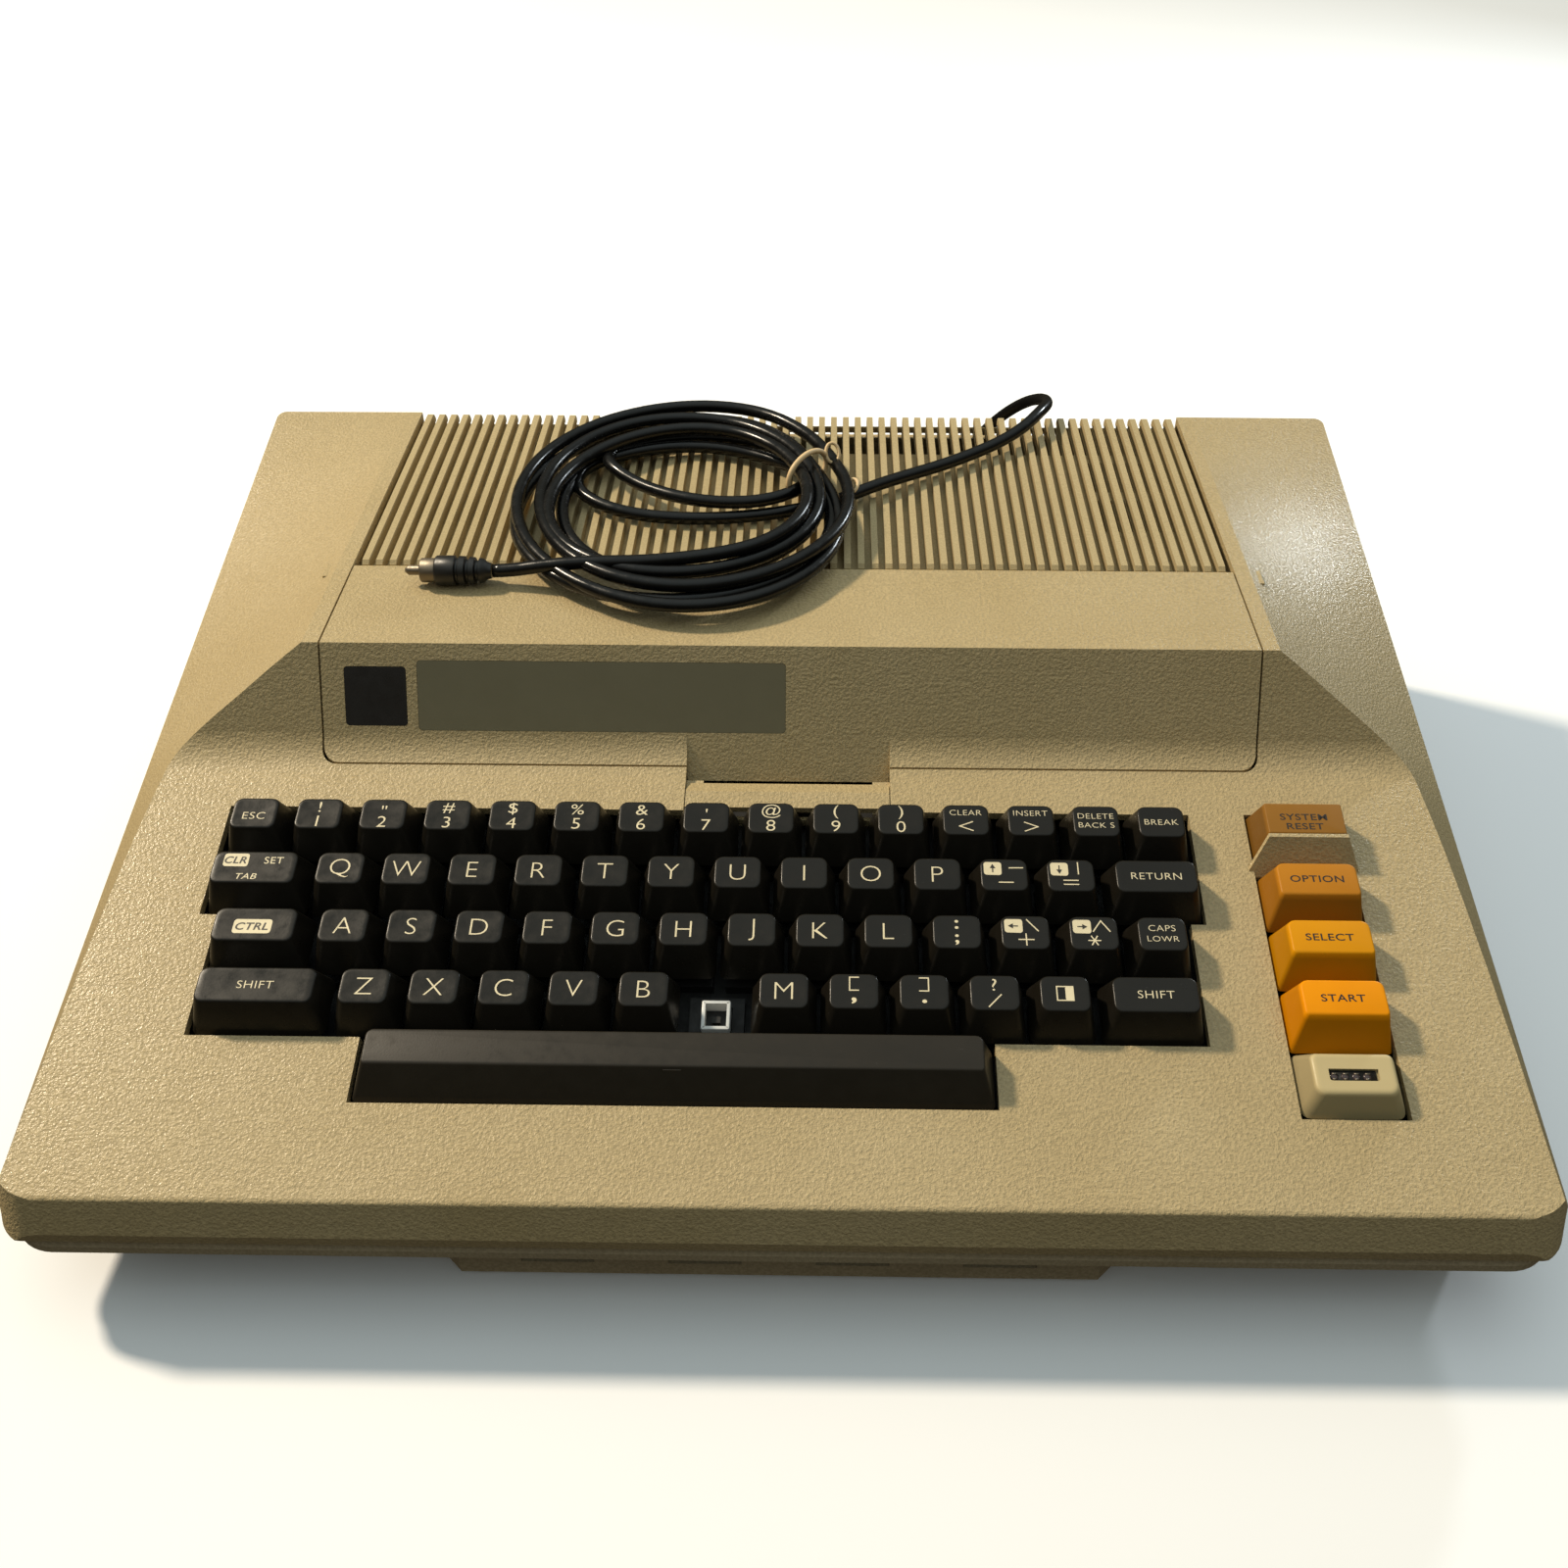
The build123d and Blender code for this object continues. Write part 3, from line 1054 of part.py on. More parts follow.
def power_board():
    """The board along the right wall that carries the jacks and switches."""
    board_z = FOOT_HEIGHT + FLOOR
    part_z = board_z + BOARD
    wall_x = WIDTH / 2 - BASE_INSET
    parts = [block((wall_x - 78, wall_x - 18), (SERIAL_Y - 26, SUPPLY_Y + 24), (board_z, part_z))]
    for inward, y, radius, height in ((66, 90, 9, 14), (46, 110, 6, 12), (64, 150, 8, 16), (62, 225, 7, 12)):
        parts.append(upright(radius, wall_x - inward, y, (part_z, part_z + height)))
    sink_x = (wall_x - 51, wall_x - 31)
    sink = block(sink_x, (170, 210), (part_z, part_z + 16))
    sink -= [block(sink_x, (y, y + 4), (part_z + 3, WIDTH)) for y in range(173, 207, 8)]
    return parts + [sink]


def side_jacks():
    """Serial, monitor and supply sockets behind the openings of the right wall."""
    wall_x = WIDTH / 2 - BASE_INSET
    inner = wall_x - FLOOR
    across = Rot(0, 90, 0)
    z = (SIDE_Z - 7, SIDE_Z + 7)
    serial = block((inner - 14, inner), (SERIAL_Y - 21, SERIAL_Y + 21), z)
    serial += block((inner - 1, wall_x), (SERIAL_Y - 18.6, SERIAL_Y + 18.6), (SIDE_Z - 5.1, SIDE_Z + 5.1))
    serial -= block((inner - 8, wall_x + 1), (SERIAL_Y - 17, SERIAL_Y + 17), (SIDE_Z - 3.4, SIDE_Z + 3.4))
    monitor = block((inner - 14, inner), (MONITOR_Y - 10, MONITOR_Y + 10), z)
    monitor += Pos(inner - 0.5 + WALL / 2 - 0.4, MONITOR_Y, SIDE_Z) * across * Cylinder(7.3, WALL - 0.4)
    monitor -= Pos(inner, MONITOR_Y, SIDE_Z) * across * Cylinder(6.4, 14)
    supply = block((inner - 12, inner), (SUPPLY_Y - 7, SUPPLY_Y + 7), z)
    supply -= Pos(inner, SUPPLY_Y, SIDE_Z) * across * Cylinder(3.2, 18)
    supply += Pos(inner - 4, SUPPLY_Y, SIDE_Z) * across * Cylinder(0.9, 14)
    return [serial, monitor, supply]


def power_switch():
    """The rocker: a shallow wedge on a cross pin, standing at its off end."""
    wall_x = WIDTH / 2 - BASE_INSET
    pivot_x = wall_x - 7
    half = 9.6
    dip = half * tan(radians(ROCKER_ANGLE / 2))
    points = [
        (wall_x - 1.2, -half), (wall_x - 1.2 + 1.2 - dip, 0), (wall_x - 1.2, half),
        (pivot_x, half * 0.6), (pivot_x - 3, 0), (pivot_x, -half * 0.6),
    ]
    face = Polygon(*points, align=None)
    rocker = Pos(0, POWER_Y, SIDE_Z - 6) * extrude(face, amount=12)
    rocker = Pos(pivot_x, POWER_Y, 0) * Rot(0, 0, ROCKER_ANGLE) * Pos(-pivot_x, -POWER_Y, 0) * rocker
    return rocker


def power_switch_frame():
    """The switch body round the rocker, with its two contact arms."""
    wall_x = WIDTH / 2 - BASE_INSET
    inner = wall_x - FLOOR
    frame = block((inner - 14, inner), (POWER_Y - 13, POWER_Y + 13), (SIDE_Z - 8.5, SIDE_Z + 8.5))
    return frame - block((inner - 12, inner + 1), (POWER_Y - 11.5, POWER_Y + 11.5),
                         (SIDE_Z - 6.4, SIDE_Z + 6.4))


def channel_switch():
    """The slider that picks one of two channels."""
    wall_x = WIDTH / 2 - BASE_INSET
    rear = CHANNEL_Y - CHANNEL_TRAVEL / 2
    knob = block((wall_x - 6, wall_x - 0.5), (rear - 1.6, rear + 1.6), (SIDE_Z - 2.2, SIDE_Z + 2.2))
    return knob + block((wall_x - 7, wall_x - 3.6), (rear - 3.4, rear + 3.4), (SIDE_Z - 3.4, SIDE_Z + 3.4))


def controller_jacks():
    """Four nine-way sockets behind the front panel."""
    jacks = []
    middle = PORT_PANEL_Y + JACK_RECESS + JACK_DEPTH / 2
    carrier_y = (middle + JACK_DEPTH / 2 - 1, middle + JACK_DEPTH)
    for x in port_places():
        jack = extrude(RectangleRounded(18.6, 10.4, 2), amount=JACK_DEPTH / 2, both=True)
        jack -= Pos(0, 0, 2) * extrude(RectangleRounded(16.6, 8.4, 1.4), amount=4, both=True)
        jack = Pos(x, middle, PORT_Z) * Rot(90, 0, 0) * jack
        jacks.append(jack + block((x - 15, x + 15), carrier_y, (PORT_Z - 6.5, PORT_Z + 6.5)))
    return jacks


def speaker():
    """A round paper-cone speaker, face down over the floor."""
    points = [
        (0, 4), (20, 1), (26, 0), (28.5, 0), (28.5, 3), (26, 3), (15, 12), (15, 19), (0, 19),
    ]
    basket = revolve(Plane.XZ * Polygon(*points, align=None), Axis.Z)
    return Pos(*SPEAKER, FOOT_HEIGHT + FLOOR) * basket


# ================================================================ antenna cable
def tube(points):
    """Straight runs joined by arcs as large as the runs allow. Prints the radii and the volume share."""
    vectors = [Vector(*p) for p in points]
    runs = [vectors[i + 1] - vectors[i] for i in range(len(vectors) - 1)]
    radii = []
    for before, after in zip(runs, runs[1:]):
        half_turn = radians(before.get_angle(after)) / 2
        radii.append(0.45 * min(before.length, after.length) / tan(half_turn))
    path = FilletPolyline(*vectors, radius=radii)
    section = Plane(path @ 0, z_dir=path % 0) * Circle(CABLE / 2)
    solid = sweep(section, path=path)
    share = solid.volume / (pi * CABLE ** 2 / 4 * path.length)
    print("cable radii", [round(r, 1) for r in radii])
    print("cable length", round(path.length, 1), "volume share", round(share, 4))
    return solid


def rf_strain_relief():
    """The tapered boot at the rear wall."""
    start = DEPTH - (EXIT_Z - BELT_Z) * tan(radians(DRAFT)) - WALL - 2
    end = REAR_RUN[0][1] - TOUCH
    root = end - RELIEF_LENGTH
    r = CABLE / 2
    points = [
        (0, start), (r + 3.6, start), (r + 3.6, start + 1.2), (r + 2, start + 1.2), (r + 2, root + 1),
        (r + 3.2, root + 1), (r + 3.2, root + 3), (r + 2, root + 3.4), (r + 0.6, end), (0, end),
    ]
    boot = revolve(Plane.XY * Polygon(*points, align=None), Axis.Y)
    return Pos(EXIT_X, 0, EXIT_Z) * boot


def rf_cable_coil():
    """The loose coil of the cable as one ring."""
    ring = Ellipse(*COIL_OUTER) - Ellipse(*COIL_INNER)
    coil = extrude(ring, amount=COIL_HEIGHT)
    coil = chamfer(coil.edges().group_by(Axis.Z)[-1], 3)
    return Pos(COIL_CENTRE[0], COIL_CENTRE[1], COIL_Z) * coil


def rf_plug():
    """A phono plug: centre pin, metal sleeve and ribbed grip."""
    r = PLUG_RADIUS
    points = [
        (0, 0), (2.4, 0), (3.2, 3), (r - 0.6, 4), (r, 5), (r - 0.5, 6.2), (r, 7.4), (r - 0.5, 8.6), (r, 9.8),
        (r - 0.5, 11), (r, 12.2), (r, 15), (4.1, 15.6), (4.1, 21), (1.6, 21), (1.6, 27.5), (0.6, 28.5),
        (0, 28.5),
    ]
    plug = revolve(Plane.XZ * Polygon(*points, align=None), Axis.Z)
    z = PLUG_RUN[0][2]
    return Pos(PLUG_X, PLUG_Y, z) * Rot(0, -90, 0) * plug


# ================================================================ write the nodes
def write_keys():
    for name, (row, left, right) in wide_keys().items():
        write(name, key((left + right) / 2, ROW_S[row], right - left))
    for name, (row, index) in single_keys().items():
        write(name, key(row_x(row, index), ROW_S[row]))
    for name, (row, indexes) in key_rows().items():
        write(name, [piece for index in indexes for piece in key(row_x(row, index), ROW_S[row])])
    row, index = bare_place()
    write("bare_key_plunger", on_deck(plunger(row_x(row, index), ROW_S[row])))
    write("space_bar", space_bar())
    for index, name in enumerate(("reset_key", "option_key", "select_key", "start_key")):
        write(name, console_cap(index))


def main():
    os.makedirs("parts", exist_ok=True)
    write("top_case", top_case())
    write("bottom_case", bottom_case())
    write("feet", feet())
    write("case_screws", case_screws())
    write("cartridge_door", cartridge_door())
    write("square_plate", slope_plate(SQUARE_PLATE))
    write("long_plate", slope_plate(LONG_PLATE))
    write("door_hinge_pins", [hinge_pin(side, PIN_RADIUS, 0) for side in (-1, 1)])
    write("door_latch", door_latch())
    write("latch_spring", latch_spring())
    write("vent_cover", vent_cover())
    write("vent_latch_left", vent_latch(-1))
    write("vent_latch_right", vent_latch(1))
    write_keys()
    write("key_switch_housings", key_switch_housings())
    write("keyboard_plate", keyboard_plate())
    write("keyboard_circuit_board", keyboard_circuit_board())
    write("power_light_cap", lamp_cap())
    write("console_switch_board", console_switch_board())
    write("shield_lower", shield_lower())
    write("shield_upper", shield_upper())
    write("mainboard", mainboard())
    write("cartridge_sockets", cartridge_sockets())
    write("cartridge_bay", cartridge_bay())
    write("cartridge_guides", cartridge_guides())
    write("vent_cover_lugs", vent_cover_lugs())
    write("interlock_button", interlock_button())
    write("memory_modules", memory_modules())
    write("processor_board", processor_board())
    write("power_board", power_board())
    write("side_jacks", side_jacks())
    write("power_switch", power_switch())
    write("power_switch_frame", power_switch_frame())
    write("channel_switch", channel_switch())
    write("controller_jacks", controller_jacks())
    write("speaker", speaker())
    write("rf_strain_relief", rf_strain_relief())
    write("rf_cable_rear_run", tube(REAR_RUN))
    write("rf_cable_coil", rf_cable_coil())
    write("rf_cable_plug_run", tube(PLUG_RUN))
    write("rf_plug", rf_plug())


main()
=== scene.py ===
"""Looks of a home computer of about 1979, laid out as an add-on that is run as a script."""
import json
from math import atan2, cos, exp, pi, radians, sin

import bmesh
import bpy
from mathutils import Matrix, Vector
from mathutils.bvhtree import BVHTree


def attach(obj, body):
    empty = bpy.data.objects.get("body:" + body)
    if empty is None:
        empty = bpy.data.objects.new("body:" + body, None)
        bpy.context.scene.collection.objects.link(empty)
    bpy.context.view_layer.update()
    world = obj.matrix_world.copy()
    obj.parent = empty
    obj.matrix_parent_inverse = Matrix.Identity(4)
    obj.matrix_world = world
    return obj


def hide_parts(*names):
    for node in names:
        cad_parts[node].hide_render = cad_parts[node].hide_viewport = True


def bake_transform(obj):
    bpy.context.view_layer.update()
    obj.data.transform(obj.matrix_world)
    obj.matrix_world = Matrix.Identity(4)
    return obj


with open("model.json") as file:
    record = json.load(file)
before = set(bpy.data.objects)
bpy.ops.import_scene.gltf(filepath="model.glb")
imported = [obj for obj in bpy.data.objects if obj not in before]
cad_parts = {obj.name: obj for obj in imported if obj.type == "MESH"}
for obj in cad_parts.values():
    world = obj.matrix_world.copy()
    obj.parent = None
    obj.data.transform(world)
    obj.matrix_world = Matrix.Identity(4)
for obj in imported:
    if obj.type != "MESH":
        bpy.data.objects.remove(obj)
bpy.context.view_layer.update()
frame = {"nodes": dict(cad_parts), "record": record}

bl_info = {
    "name": "Home computer looks",
    "version": (1, 0, 0),
    "blender": (4, 5, 0),
    "location": "View3D > Sidebar > Home computer",
    "description": "Finishes, key caps, legends, cable and studio for the packed home computer",
    "category": "Object",
}

MM = 0.001
HALF_DEPTH = 159.0
NOSE_Y = 3.0  # upper front edge of the housing, where the deck begins
NOSE_Z = 44.4
TILT = radians(14.54)
KEY_PITCH = 19.05
KEY_HEIGHT = 9.0
KEY_FOOT = -1.5
KEY_BASE = 18.0
KEY_TOP = (13.3, 10.5)
KEY_TOP_SHIFT = 1.1
KEY_WALL = 1.3
KEY_CORNERS = (2.1, 2.4)  # radii of the front and rear uprights
KEY_EDGE = 0.45
DISH_RINGS = (0.9, 0.75, 0.6, 0.45, 0.3, 0.15)  # shares of a key top's width
CORNER_STEPS = 4
EDGE_STEPS = 3
LAMP_HEIGHT = 6.0
CRISP = 50  # degrees; caps stay crisp at sharper edges
ROW_S = (113.45, 94.4, 75.35, 56.3)  # middles of the rows, from the rear
ROW_X = (-156.75, -127.7, -123.0, -113.6)  # middle of each row's first square key
POST = ((4.8, 5.8), (-7.0, 7.2))  # size and heights of what stands in a cap
STEM = ((8.0, 9.0), (-12.0, -3.5))  # and of what it stands on
PAINT = 0.04  # legends stand this far above the cap
LETTER_SPACE = 1.06
ITALIC = 0.2
MIX_INPUTS = (0, 6, 7)  # factor and the two colours of a colour mix
MIX_RESULT = 2


# ---- places
# From deck coordinates in millimetres to the frame: x, s up the slope, h out of the deck.
DECK = (Matrix.Scale(MM, 4) @ Matrix.Translation((0, NOSE_Y - HALF_DEPTH, NOSE_Z))
        @ Matrix.Rotation(TILT, 4, "X"))
# From millimetres with y = 0 at the front edge to the frame.
HOUSING = Matrix.Scale(MM, 4) @ Matrix.Translation((0, -HALF_DEPTH, 0))


def put(point):
    """A point in housing millimetres as a point of the frame."""
    return HOUSING @ Vector(point)


# ---- settings
class ComputerLooks(bpy.types.PropertyGroup):
    """Choices that the operators read."""
    case_tint: bpy.props.FloatVectorProperty(
        name="Case tint", description="Multiplies the beige of the case",
        default=(1, 1, 1), min=0.0, max=2.0, subtype="COLOR")
    key_tint: bpy.props.FloatVectorProperty(
        name="Key tint", description="Multiplies the brown of the key caps",
        default=(1, 1, 1), min=0.0, max=2.0, subtype="COLOR")
    grain: bpy.props.FloatProperty(
        name="Grain size", description="Size of the moulded pebble grain", default=0.0009,
        min=0.0003, max=0.003, subtype="DISTANCE", unit="LENGTH")
    dish: bpy.props.FloatProperty(
        name="Key dish", description="Depth of the hollow in each key top", default=0.0002,
        min=0.0, max=0.001, subtype="DISTANCE", unit="LENGTH")
    cable: bpy.props.FloatProperty(
        name="Cable diameter", description="Diameter of the antenna cable", default=0.0044,
        min=0.002, max=0.008, subtype="DISTANCE", unit="LENGTH")
    cable_sides: bpy.props.IntProperty(
        name="Cable sides", description="Corners of the cable's section", default=14, min=6, max=24)
    key_light: bpy.props.FloatProperty(
        name="Key light", description="Power of the main lamp", default=88.0,
        min=0.0, max=500.0, unit="POWER")


def looks():
    return bpy.context.scene.computer_looks


# ---- material helpers
class Shader:
    """Short calls to build one node material."""

    def __init__(self, name, color, roughness):
        self.material = bpy.data.materials.new(name)
        self.material.use_nodes = True
        self.material.diffuse_color = (*color, 1)
        self.tree = self.material.node_tree
        self.bsdf = self.tree.nodes["Principled BSDF"]
        self.set(**{"Base Color": (*color, 1), "Roughness": roughness})
        self.coords = self.node("ShaderNodeTexCoord").outputs["Object"]

    def set(self, **values):
        for key, value in values.items():
            self.bsdf.inputs[key].default_value = value

    def node(self, kind, **settings):
        node = self.tree.nodes.new(kind)
        for key, value in settings.items():
            setattr(node, key, value)
        return node

    def link(self, source, target):
        self.tree.links.new(source, target)

    def stretched(self, scale):
        node = self.node("ShaderNodeMapping")
        node.inputs["Scale"].default_value = scale
        self.link(self.coords, node.inputs["Vector"])
        return node.outputs["Vector"]

    def noise(self, size, detail=2.0, rough=0.5, vector=None):
        """Noise whose blobs are about size metres across."""
        node = self.node("ShaderNodeTexNoise")
        node.inputs["Scale"].default_value = 1 / size
        node.inputs["Detail"].default_value = detail
        node.inputs["Roughness"].default_value = rough
        self.link(vector or self.coords, node.inputs["Vector"])
        return node.outputs["Fac"]

    def borders(self, size):
        """Distance from the borders of cells that are about size metres across."""
        node = self.node("ShaderNodeTexVoronoi", feature="DISTANCE_TO_EDGE")
        node.inputs["Scale"].default_value = 1 / size
        self.link(self.coords, node.inputs["Vector"])
        return node.outputs["Distance"]

    def ramp(self, source, stops):
        """A colour or grey ramp: stops are (position, colour) pairs."""
        node = self.node("ShaderNodeValToRGB")
        ramp = node.color_ramp
        while len(ramp.elements) < len(stops):
            ramp.elements.new(0.5)
        for element, (position, color) in zip(ramp.elements, stops):
            element.position = position
            element.color = (*color, 1) if isinstance(color, tuple) else (color, color, color, 1)
        self.link(source, node.inputs["Fac"])
        return node.outputs["Color"]

    def feed(self, socket, value):
        """Gives a socket a number, a colour or another node's output."""
        if isinstance(value, (float, int)):
            socket.default_value = value
        elif isinstance(value, tuple):
            socket.default_value = (*value, 1)
        else:
            self.link(value, socket)

    def mix(self, factor, first, second, blend="MIX"):
        node = self.node("ShaderNodeMix", data_type="RGBA", blend_type=blend)
        for place, value in zip(MIX_INPUTS, (factor, first, second)):
            self.feed(node.inputs[place], value)
        return node.outputs[MIX_RESULT]

    def times(self, first, second):
        node = self.node("ShaderNodeMath", operation="MULTIPLY")
        self.feed(node.inputs[0], first)
        self.feed(node.inputs[1], second)
        return node.outputs[0]

    def color(self, source):
        self.link(source, self.bsdf.inputs["Base Color"])

    def rough(self, source):
        self.link(source, self.bsdf.inputs["Roughness"])

    def bump(self, source, height, socket="Normal"):
        """Bump of a height in metres, for the whole surface or for its coat."""
        node = self.node("ShaderNodeBump")
        node.inputs["Strength"].default_value = 1.0
        node.inputs["Distance"].default_value = height
        self.link(source, node.inputs["Height"])
        self.link(node.outputs["Normal"], self.bsdf.inputs[socket])


COAT_ROUGHNESS = 0.18
COAT_BUMP = 0.4  # share of the grain's depth that the coat follows


def moulded(name, light, dark, grain, roughness, depth, gloss):
    """Moulded plastic with a pebbled skin that glints, a little mottled over its breadth."""
    s = Shader(name, light, roughness)
    s.set(**{"Specular IOR Level": 0.3, "Coat Weight": gloss, "Coat Roughness": COAT_ROUGHNESS})
    pebble = s.noise(grain, 2.0, 0.6)
    broad = s.noise(0.05, 3.0, 0.6)
    tone = s.mix(s.ramp(broad, [(0.3, 0.0), (0.7, 1.0)]), dark, light)
    s.color(s.mix(1.0, tone, s.ramp(pebble, [(0.38, 0.87), (0.52, 1.0), (0.68, 1.12)]), "MULTIPLY"))
    s.rough(s.ramp(pebble, [(0.35, roughness + 0.14), (0.65, roughness - 0.1)]))
    s.bump(pebble, depth)
    s.bump(pebble, depth * COAT_BUMP, "Coat Normal")
    return s.material


def deck_height(s, top):
    """Height above the deck, as a share of a cap's height in millimetres."""
    node = s.node("ShaderNodeMapping")
    turn = Matrix.Rotation(-TILT, 3, "X")
    node.inputs["Rotation"].default_value = turn.to_euler()
    node.inputs["Location"].default_value = turn @ Vector((0, HALF_DEPTH - NOSE_Y, -NOSE_Z)) * MM
    s.link(s.coords, node.inputs["Vector"])
    split = s.node("ShaderNodeSeparateXYZ")
    s.link(node.outputs["Vector"], split.inputs["Vector"])
    return s.times(split.outputs["Z"], 1 / (top * MM))


def smooth_plastic(name, light, dark, roughness, speck=0.0, shine=0.5, height=None):
    """Smooth plastic with faint dust, scuffs and an uneven shine. The walls of a cap of a given
    height in millimetres are darkened with painted shade."""
    s = Shader(name, light, roughness)
    s.set(**{"Specular IOR Level": shine})
    tone = s.mix(s.noise(0.012, 3.0, 0.6), dark, light)
    dust = s.ramp(s.noise(0.0011, 4.0, 0.7), [(0.66, 0.0), (0.78, 1.0)])
    color = s.mix(s.times(dust, speck), tone, tuple(min(1, c + 0.25) for c in light))
    # painted shade: below the top of a cap of this height the colour is darkened, so its walls look shaded
    if height:
        color = s.mix(1.0, color, s.ramp(deck_height(s, height), [(0.8, WALL_SHADE), (0.95, 1.0)]), "MULTIPLY")
    s.color(color)
    s.rough(s.ramp(s.noise(0.004, 4.0, 0.65), [(0.3, roughness - 0.08), (0.75, roughness + 0.14)]))
    s.bump(s.noise(0.0005, 2.0, 0.5), 0.000012)
    return s.material


def metal(name, light, roughness, brushed=(1, 1, 1)):
    """Bare metal with a fine drawn or cast grain."""
    s = Shader(name, light, roughness)
    s.set(Metallic=1.0)
    grain = s.noise(0.0008, 3.0, 0.6, s.stretched(brushed))
    s.color(s.mix(grain, tuple(c * 0.82 for c in light), light))
    s.rough(s.ramp(grain, [(0.3, roughness - 0.06), (0.7, roughness + 0.12)]))
    s.bump(grain, 0.00001)
    return s.material


def circuit_board(name, mask, track, deep):
    """Solder mask with the paler lines of its tracks."""
    s = Shader(name, mask, 0.4)
    tracks = s.borders(0.006)
    s.color(s.ramp(tracks, [(0.0, track), (0.08, mask), (1.0, deep)]))
    s.rough(s.ramp(s.noise(0.01), [(0.2, 0.3), (0.8, 0.5)]))
    s.bump(tracks, 0.00003)
    return s.material


def legend_paint(name, color):
    """Moulded-in legend plastic, very slightly worn."""
    s = Shader(name, color, 0.5)
    s.color(s.mix(s.noise(0.0009, 3.0, 0.6), tuple(c * 0.82 for c in color), color))
    s.bump(s.noise(0.0004), 0.000005)
    return s.material


MATERIALS = {}
WALL_SHADE = 0.6  # share of its colour that a cap's wall keeps under the painted shade
MOULDED = {  # name, light and dark colour, share of the grain size, roughness, depth, gloss
    "case": ("case beige", (0.49, 0.38, 0.205), (0.455, 0.345, 0.175), 1.0, 0.42, 0.00045, 0.25),
    "vent": ("vent beige", (0.47, 0.37, 0.20), (0.43, 0.335, 0.175), 0.6, 0.5, 0.00004, 0.0),
    "base": ("base beige", (0.42, 0.34, 0.22), (0.37, 0.29, 0.18), 1.0, 0.6, 0.00010, 0.0),
}
SMOOTH = {  # name, light and dark colour, roughness, dust, shine, height of a cap whose walls get painted shade
    "lamp cap": ("cap cream", (0.57, 0.46, 0.245), (0.53, 0.42, 0.215), 0.42, 0.0, 0.3, LAMP_HEIGHT),
    "key": ("key brown", (0.0115, 0.0095, 0.0065), (0.008, 0.0066, 0.0046), 0.32, 0.10, 0.26),
    "bar": ("bar brown", (0.026, 0.021, 0.0145), (0.02, 0.016, 0.011), 0.40, 0.10, 0.24),
    "well": ("well black", (0.005, 0.0045, 0.004), (0.004, 0.0035, 0.003), 0.6),
    "amber": ("key amber", (0.29, 0.13, 0.018), (0.25, 0.11, 0.014), 0.42, 0.05, 0.16, KEY_HEIGHT),
    "tan": ("key tan orange", (0.51, 0.20, 0.012), (0.46, 0.175, 0.010), 0.42, 0.05, 0.14, KEY_HEIGHT),
    "yellow": ("key yellow orange", (0.72, 0.30, 0.002), (0.64, 0.255, 0.002), 0.40, 0.05, 0.12, KEY_HEIGHT),
    "orange": ("key orange", (0.86, 0.31, 0.001), (0.78, 0.265, 0.001), 0.40, 0.05, 0.10, KEY_HEIGHT),
    "plate": ("bare long plate", (0.21, 0.185, 0.11), (0.185, 0.16, 0.095), 0.42, 0.03),
    "dark plate": ("bare square plate", (0.018, 0.014, 0.012), (0.012, 0.01, 0.009), 0.35, 0.04),
    "black": ("black plastic", (0.010, 0.0095, 0.009), (0.007, 0.0065, 0.006), 0.36, 0.05),
    "ivory": ("ivory nylon", (0.78, 0.78, 0.76), (0.68, 0.68, 0.67), 0.3),
    "rubber": ("foot rubber", (0.02, 0.02, 0.02), (0.013, 0.013, 0.013), 0.8),
    "cable": ("cable black", (0.005, 0.005, 0.005), (0.003, 0.003, 0.003), 0.22, 0.04, 0.34),
    "band": ("tie cream", (0.80, 0.58, 0.32), (0.70, 0.49, 0.25), 0.5),
    "cone": ("speaker paper", (0.03, 0.03, 0.03), (0.02, 0.02, 0.02), 0.9),
    "lens": ("lamp lens", (0.06, 0.04, 0.04), (0.04, 0.025, 0.025), 0.12),
}
OTHERS = {  # finish: how it is made, and with what
    "steel": (metal, "steel", (0.55, 0.55, 0.54), 0.32, (1, 6, 1)),
    "dull metal": (metal, "dull plug metal", (0.24, 0.205, 0.16), 0.45),
    "cast": (metal, "dull cast metal", (0.16, 0.155, 0.15), 0.6),
    "gold": (metal, "contact gold", (0.8, 0.6, 0.25), 0.3),
    "board": (circuit_board, "circuit board", (0.02, 0.10, 0.04), (0.05, 0.22, 0.09), (0.015, 0.08, 0.03)),
    "cream ink": (legend_paint, "legend cream", (0.84, 0.73, 0.49)),
    "brown ink": (legend_paint, "legend brown", (0.022, 0.011, 0.004)),
    "dark ink": (legend_paint, "legend dark", (0.03, 0.024, 0.017)),
}


TINTS = {**dict.fromkeys(MOULDED, "case_tint"), "key": "key_tint", "bar": "key_tint"}


def tinted(finish, *colors):
    """Colours times the tint that is set for a finish."""
    tint = getattr(looks(), TINTS[finish]) if finish in TINTS else (1, 1, 1)
    return [tuple(c * t for c, t in zip(color, tint)) for color in colors]


def make_materials():
    for finish, (name, light, dark, share, *skin) in MOULDED.items():
        MATERIALS[finish] = moulded(name, *tinted(finish, light, dark), looks().grain * share, *skin)
    for finish, (name, light, dark, *skin) in SMOOTH.items():
        MATERIALS[finish] = smooth_plastic(name, *tinted(finish, light, dark), *skin)
    for finish, (make, *values) in OTHERS.items():
        MATERIALS[finish] = make(*values)


